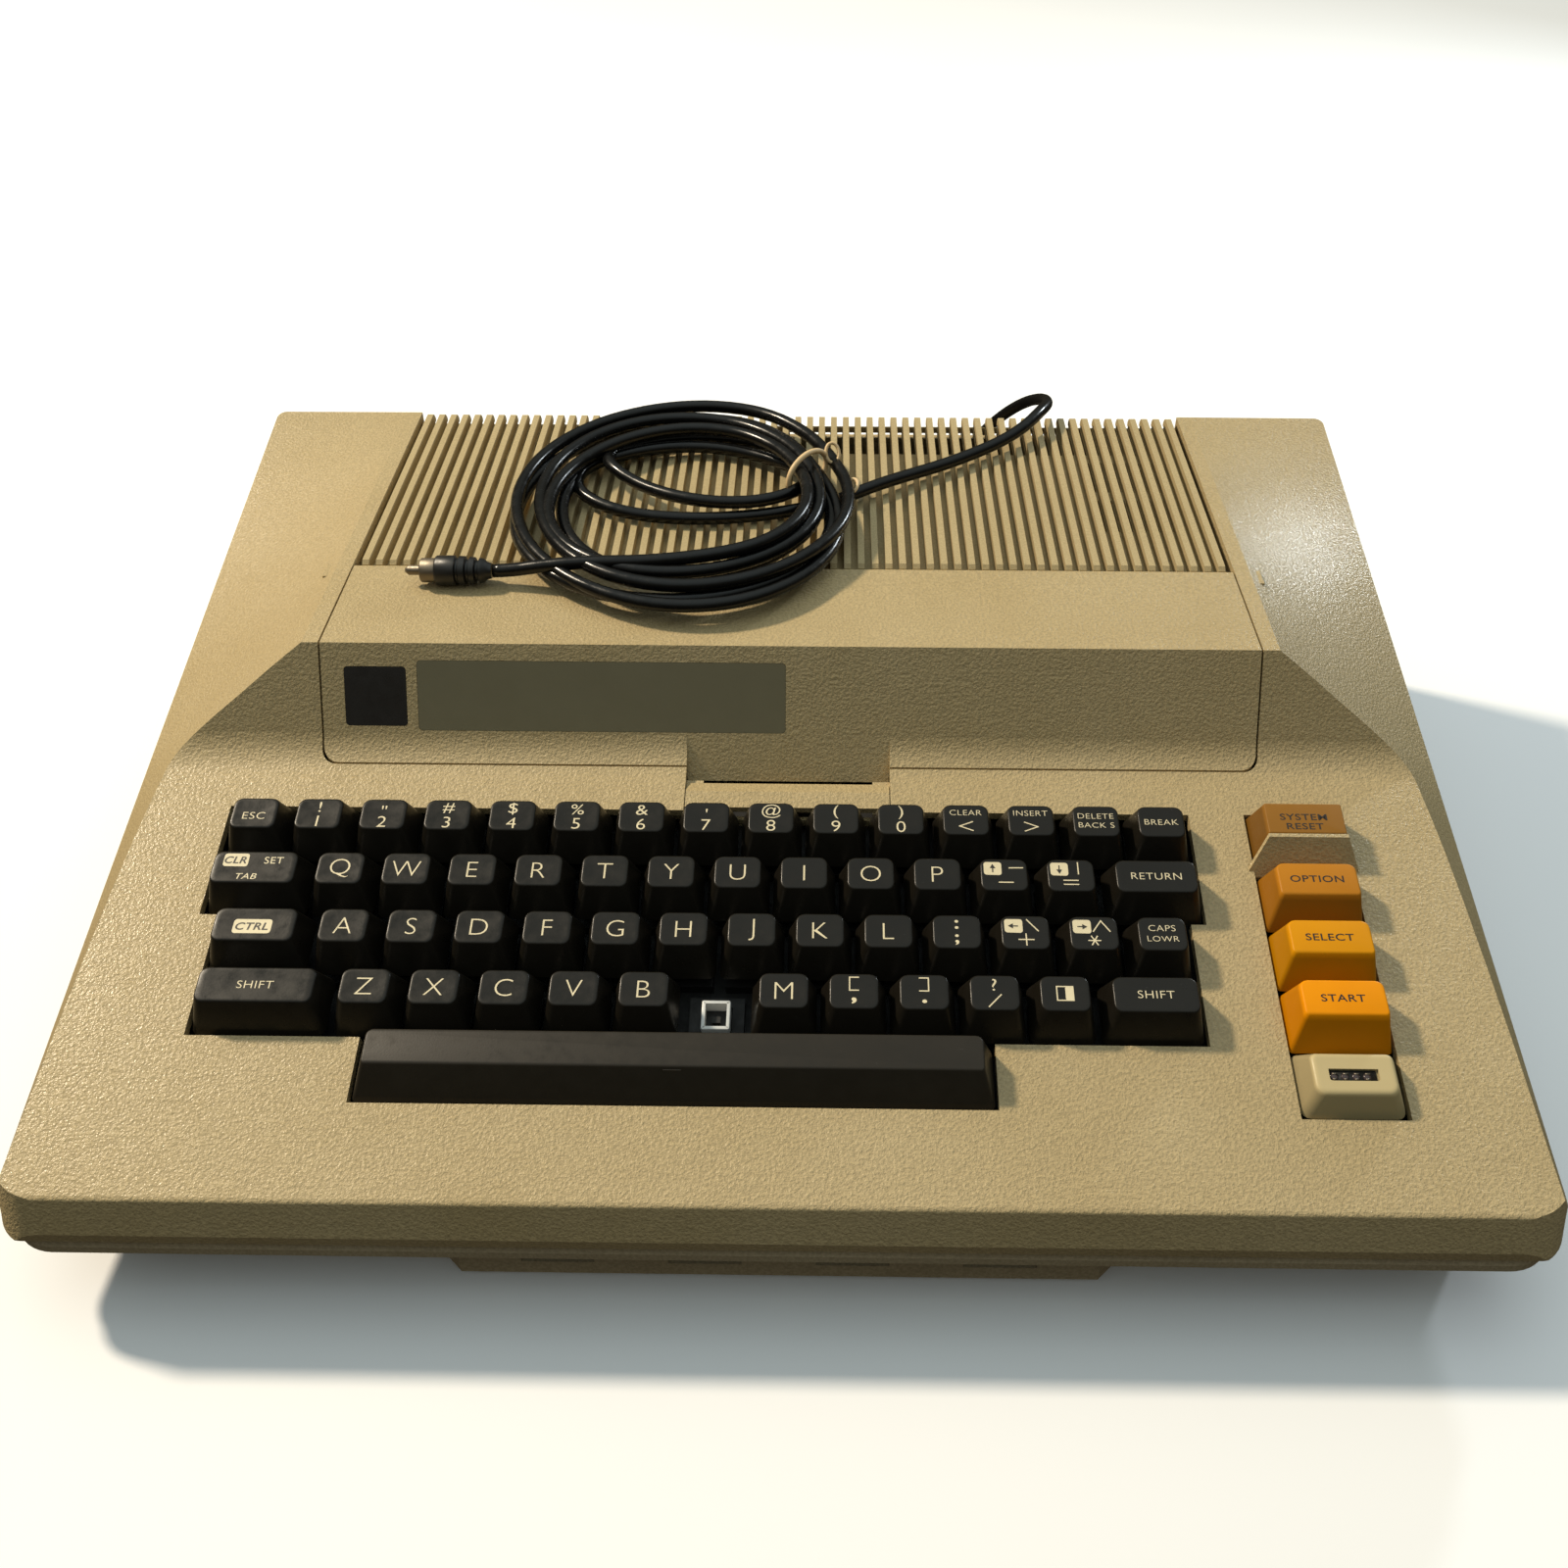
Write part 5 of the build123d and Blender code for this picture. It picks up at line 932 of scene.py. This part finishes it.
def make_tie():
    """The tie round the coil's bundle, with the two small loops of its ends."""
    for name, centre, across, up, size, radius in TIE:
        line = []
        for k in range(LOOP_POINTS):
            angle = 2 * pi * k / LOOP_POINTS
            offset = Vector(across) * size[0] * cos(angle) + Vector(up) * size[1] * sin(angle)
            line.append(put(Vector(centre) + offset))
        tie = tube_object(name, curve_mesh(line, radius * MM, closed=True), "band")
        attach(tie, "case")


# ---- small fittings
BARE_PLACE = (3, 5)  # row and place in the row without a cap
POCKET_DEPTH = 6.5
LAMP_BASE = (CONSOLE_X, 35.75, CONSOLE_WIDTH, 18.3)
LAMP_TOP = (CONSOLE_X, 36.2, 21.4, 11.2)
LAMP_CORNERS = (2.4, 1.6)
LAMP_EDGE = 0.8
LAMP_WINDOW = (150.5, 35.5, 14.0, 3.9)
LAMP_SINK = 1.0
DOME_PITCH = 2.9
DOME_RADIUS = 1.1
CHIPS = ((0.7, 1.3), (-0.8, 0.8))  # offset from a dome's middle and length of its bright chips


def make_lamp_cap():
    """The cap of the power light, with a sunk window in its top."""
    bm = bmesh.new()
    cap_surface(bm, LAMP_BASE, LAMP_TOP, LAMP_HEIGHT, 0.0, LAMP_CORNERS, LAMP_EDGE)
    bm.normal_update()
    face = widest(bm.faces, 1)
    low, high = limits(face.verts)
    shrink = [new / old for new, old in zip(LAMP_WINDOW[2:], high - low)]
    bmesh.ops.inset_individual(bm, faces=[face], thickness=0.6, depth=0)
    face = draw_in(bm, face, Vector((*LAMP_WINDOW[:2], 0)), shrink)
    face = bmesh.ops.extrude_discrete_faces(bm, faces=[face])["faces"][0]
    bmesh.ops.translate(bm, verts=face.verts, vec=(0, 0, -LAMP_SINK))
    finish_cap("power_lamp_cap", bm, "lamp cap", DECK, "power_light_cap")


def make_lamp():
    """The dark strip in the window of the power light, with four small domes and their bright chips."""
    x, s, width, depth = LAMP_WINDOW
    floor = LAMP_HEIGHT - LAMP_SINK
    strip = bmesh.new()
    add_block(strip, (x, s), (width - 0.2, depth - 0.2), (floor - 0.1, floor + 0.25))
    domes = bmesh.new()
    chips = bmesh.new()
    for k in range(4):
        dome_x = x + (k - 1.5) * DOME_PITCH
        verts = bmesh.ops.create_uvsphere(domes, u_segments=16, v_segments=8, radius=DOME_RADIUS)["verts"]
        flat = Matrix.Translation((dome_x, s, floor + 0.2)) @ Matrix.Diagonal((1, 1, 0.45, 1))
        bmesh.ops.transform(domes, matrix=flat, verts=verts)
        for offset, long in CHIPS:
            middle = (dome_x + long / 2 - 0.5, s + offset)
            add_block(chips, middle, (long, 0.5), (floor + 0.5, floor + 0.75))
    for name, bm, finish in (("power_lamp_strip", strip, "well"), ("power_lamp_domes", domes, "lens"),
                             ("power_lamp_chips", chips, "dull metal")):
        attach(from_bmesh(name, bm, finish, DECK), "case")


def make_bare_plunger():
    """The plunger of the place without a cap: a hollow frame round a pocket, with a black block at its bottom
    as painted shade.
    """
    middle = (row_x(*BARE_PLACE), ROW_S[BARE_PLACE[0]])
    bm = bmesh.new()
    add_block(bm, middle, *STEM)
    round_edges(bm, [e for e in bm.edges if abs(e.verts[0].co.z - e.verts[1].co.z) > 1], 0.5, 3)
    bm.normal_update()
    round_edges(bm, list(widest(bm.faces, 1).edges), 0.25, 2)
    bm.normal_update()
    face = widest(bm.faces, 1)
    bmesh.ops.inset_individual(bm, faces=[face], thickness=0.75, depth=0)
    pocket = bmesh.ops.extrude_discrete_faces(bm, faces=[face])["faces"][0]
    bmesh.ops.translate(bm, verts=pocket.verts, vec=(0, 0, -POCKET_DEPTH))
    finish_cap("bare_plunger_frame", bm, "ivory", DECK, "bare_key_plunger")
    # painted shade: a black floor block and small nub at the pocket's bottom stand for the dark inside the
    # pocket
    bm = bmesh.new()
    add_block(bm, middle, (6.2, 7.2), (-9.9, -8.0))
    add_block(bm, middle, (2.4, 2.0), (-8.1, -6.4))
    floor = from_bmesh("bare_plunger_pocket", bm, "well", DECK, smooth=False)
    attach(floor, body_of_node("bare_key_plunger"))


PLUG = (-96.0, 191.3, 116.9)
PLUG_CRISP = 60
PLUG_GRIP = [  # distance along the plug, radius
    (0, 0), (0, 2.4), (1.6, 2.9), (2.4, 3.8), (3.8, 4.1), (4.2, 3.3), (4.9, 3.3), (5.3, 4.3), (6.9, 4.4),
    (7.3, 3.6), (8.0, 3.6), (8.4, 4.6), (10.2, 4.7), (10.6, 4.0), (11.2, 4.0), (11.6, 4.8), (17.4, 4.8),
    (18.0, 4.3), (18.0, 0),
]
PLUG_TIP = [
    (17.9, 0), (17.9, 3.9), (22.4, 3.9), (22.8, 3.6), (22.8, 3.1), (18.6, 3.1), (18.6, 1.6), (26.8, 1.6),
    (27.9, 0.7), (28.1, 0),
]


def turned(profile, place):
    """A closed round body from its profile, spun about its length."""
    bm = bmesh.new()
    verts = [bm.verts.new((-along, 0, radius)) for along, radius in profile]
    edges = [bm.edges.new(pair) for pair in zip(verts, verts[1:])]
    bmesh.ops.spin(bm, geom=verts + edges, cent=(0, 0, 0), axis=(1, 0, 0), steps=32, angle=2 * pi,
                   use_merge=True)
    bmesh.ops.remove_doubles(bm, verts=bm.verts, dist=0.001)
    bmesh.ops.translate(bm, verts=bm.verts, vec=place)
    return bm


def make_plug():
    """The plug: a ribbed black grip and its metal tip."""
    pieces = (("plug_grip", PLUG_GRIP, "black"), ("plug_tip", PLUG_TIP, "dull metal"))
    return [finish_cap(name, turned(profile, PLUG), finish, HOUSING, "rf_plug", PLUG_CRISP)
            for name, profile, finish in pieces]


SOCKET_PLACE = (16.25, 15.0)  # y and height of the pins' middle
SOCKET_PITCH = 40
PIN_PITCH = 2.77
PIN_ROWS = ((1.4, 5), (-1.4, 4))  # height above the socket's middle, count


def make_socket_pins():
    """Contact pins of the four controller sockets."""
    bm = bmesh.new()
    turn = Matrix.Rotation(pi / 2, 4, "X")
    y, height = SOCKET_PLACE
    for socket in range(4):
        for rise, count in PIN_ROWS:
            for k in range(count):
                verts = bmesh.ops.create_cone(bm, segments=10, radius1=0.5, radius2=0.35, depth=4.5,
                                              cap_ends=True)["verts"]
                x = (socket - 1.5) * SOCKET_PITCH + (k - (count - 1) / 2) * PIN_PITCH
                place = Matrix.Translation((x, y, height + rise))
                bmesh.ops.transform(bm, matrix=place @ turn, verts=verts)
    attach(from_bmesh("socket_pins", bm, "gold", HOUSING), "case")


# ---- studio
GLOW_SHARE = 0.05  # of the key light's power
SKY = [(0.0, (0.055, 0.046, 0.032)), (0.45, (0.14, 0.14, 0.115)), (1.0, (0.78, 0.89, 0.88))]
BACKDROP = (0.86, 0.87, 0.88, 1)
KEY_LIGHT = {"place": (-1.87, 0.87, 2.06), "aim": (0, 0, 0.05), "size": 0.26, "color": (1.0, 0.86, 0.66)}
GLOW_LIGHT = {"place": (0.892, 0.928, 0.549), "aim": (0.175, 0.076, 0.104), "size": 0.12,
              "color": (0.86, 0.95, 1.0)}
CAMERA = {"place": (0.0109, -0.3886, 0.3716), "yaw": radians(-0.87), "pitch": radians(38.65),
          "lens": 34.99, "shift": (-0.01361, -0.00694)}


def make_camera():
    data = bpy.data.cameras.new("studio camera")
    data.sensor_width = 36
    data.lens = CAMERA["lens"]
    data.shift_x, data.shift_y = CAMERA["shift"]
    data.clip_start = 0.01
    camera = linked("studio camera", data)
    camera.location = CAMERA["place"]
    camera.rotation_euler = (pi / 2 - CAMERA["pitch"], 0, -CAMERA["yaw"])
    bpy.context.scene.camera = camera


def make_lamp_at(name, place, aim, size, power, color):
    data = bpy.data.lights.new(name, "AREA")
    data.shape = "DISK"
    data.size = size
    data.energy = power
    data.color = color
    lamp = linked(name, data)
    lamp.location = place
    lamp.rotation_euler = (Vector(aim) - Vector(place)).to_track_quat("-Z", "Y").to_euler()


def make_floor():
    bm = bmesh.new()
    bmesh.ops.create_grid(bm, x_segments=1, y_segments=1, size=6)
    mesh = bpy.data.meshes.new("floor")
    bm.to_mesh(mesh)
    bm.free()
    s = Shader("pale floor", (0.93, 0.94, 0.97), 0.8)
    s.color(s.ramp(s.noise(0.3), [(0.3, (0.92, 0.93, 0.96)), (0.7, (0.94, 0.95, 0.98))]))
    mesh.materials.append(s.material)
    floor = linked("floor", mesh)
    floor.visible_diffuse = False
    floor.visible_glossy = False


def make_world():
    """Slightly cool light that grows from the horizon to straight above, and a pale backdrop."""
    world = bpy.data.worlds.new("studio")
    world.use_nodes = True
    tree = world.node_tree
    node = tree.nodes.new
    link = tree.links.new
    coords = node("ShaderNodeTexCoord")
    split = node("ShaderNodeSeparateXYZ")
    ramp = node("ShaderNodeValToRGB")
    ramp.color_ramp.elements.new(0.5)
    for element, (position, color) in zip(ramp.color_ramp.elements, SKY):
        element.position = position
        element.color = (*color, 1)
    link(coords.outputs["Generated"], split.inputs["Vector"])
    link(split.outputs["Z"], ramp.inputs["Fac"])
    path = node("ShaderNodeLightPath")
    mix = node("ShaderNodeMix")
    mix.data_type = "RGBA"
    factor, first, second = (mix.inputs[place] for place in MIX_INPUTS)
    second.default_value = BACKDROP
    link(path.outputs["Is Camera Ray"], factor)
    link(ramp.outputs["Color"], first)
    link(mix.outputs[MIX_RESULT], tree.nodes["Background"].inputs["Color"])
    bpy.context.scene.world = world


# ---- operators
class StepOperator:
    """What the steps share."""
    bl_options = {"REGISTER", "UNDO"}


class COMPUTER_OT_materials(StepOperator, bpy.types.Operator):
    """Make the finishes and give each frame node its own"""
    bl_idname = "computer.materials"
    bl_label = "Finishes"

    def execute(self, context):
        make_materials()
        for finish, nodes in NODE_FINISH.items():
            for node in nodes:
                paint(frame["nodes"][node], finish)
        for node, width in SOFTENED.items():
            soften(frame["nodes"][node], width)
        return {"FINISHED"}


class COMPUTER_OT_cable(StepOperator, bpy.types.Operator):
    """Lay the antenna cable and its tie"""
    bl_idname = "computer.cable"
    bl_label = "Antenna cable"

    def execute(self, context):
        make_cable()
        make_tie()
        return {"FINISHED"}


class COMPUTER_OT_keys(StepOperator, bpy.types.Operator):
    """Model the caps of the keyboard"""
    bl_idname = "computer.keys"
    bl_label = "Key caps"

    def execute(self, context):
        make_keys()
        return {"FINISHED"}


class COMPUTER_OT_console_keys(StepOperator, bpy.types.Operator):
    """Model the four console keys"""
    bl_idname = "computer.console_keys"
    bl_label = "Console keys"

    def execute(self, context):
        make_console_keys()
        return {"FINISHED"}


class COMPUTER_OT_legends(StepOperator, bpy.types.Operator):
    """Put the generic legends on the keys"""
    bl_idname = "computer.legends"
    bl_label = "Legends"

    def execute(self, context):
        make_legends()
        return {"FINISHED"}


class COMPUTER_OT_fittings(StepOperator, bpy.types.Operator):
    """Model the power light, the bare plunger and the socket pins"""
    bl_idname = "computer.fittings"
    bl_label = "Small fittings"

    def execute(self, context):
        make_lamp_cap()
        make_lamp()
        make_bare_plunger()
        make_socket_pins()
        return {"FINISHED"}


class COMPUTER_OT_stage(StepOperator, bpy.types.Operator):
    """Set up floor, lights and camera"""
    bl_idname = "computer.stage"
    bl_label = "Studio"

    def execute(self, context):
        make_camera()
        make_floor()
        make_world()
        power = looks().key_light
        make_lamp_at("key light", power=power, **KEY_LIGHT)
        make_lamp_at("window glow", power=power * GLOW_SHARE, **GLOW_LIGHT)
        context.scene.view_settings.view_transform = "Standard"
        return {"FINISHED"}


class COMPUTER_PT_looks(bpy.types.Panel):
    """Sidebar panel with the settings and the steps"""
    bl_label = "Home computer"
    bl_idname = "COMPUTER_PT_looks"
    bl_space_type = "VIEW_3D"
    bl_region_type = "UI"
    bl_category = "Home computer"

    def draw(self, context):
        for name in ComputerLooks.__annotations__:
            self.layout.prop(context.scene.computer_looks, name)
        for operator in OPERATORS:
            self.layout.operator(operator.bl_idname)


OPERATORS = (
    COMPUTER_OT_materials,
    COMPUTER_OT_stage,
    COMPUTER_OT_cable,
    COMPUTER_OT_keys,
    COMPUTER_OT_console_keys,
    COMPUTER_OT_legends,
    COMPUTER_OT_fittings,
)
CLASSES = (ComputerLooks, COMPUTER_PT_looks) + OPERATORS


def register():
    for cls in CLASSES:
        bpy.utils.register_class(cls)
    bpy.types.Scene.computer_looks = bpy.props.PointerProperty(type=ComputerLooks)


def unregister():
    del bpy.types.Scene.computer_looks
    for cls in reversed(CLASSES):
        bpy.utils.unregister_class(cls)


def main():
    register()
    bpy.ops.computer.materials()
    bpy.ops.computer.stage()
    bpy.ops.computer.cable()
    bpy.ops.computer.keys()
    bpy.ops.computer.console_keys()
    bpy.ops.computer.legends()
    bpy.ops.computer.fittings()


if __name__ == "__main__":
    main()
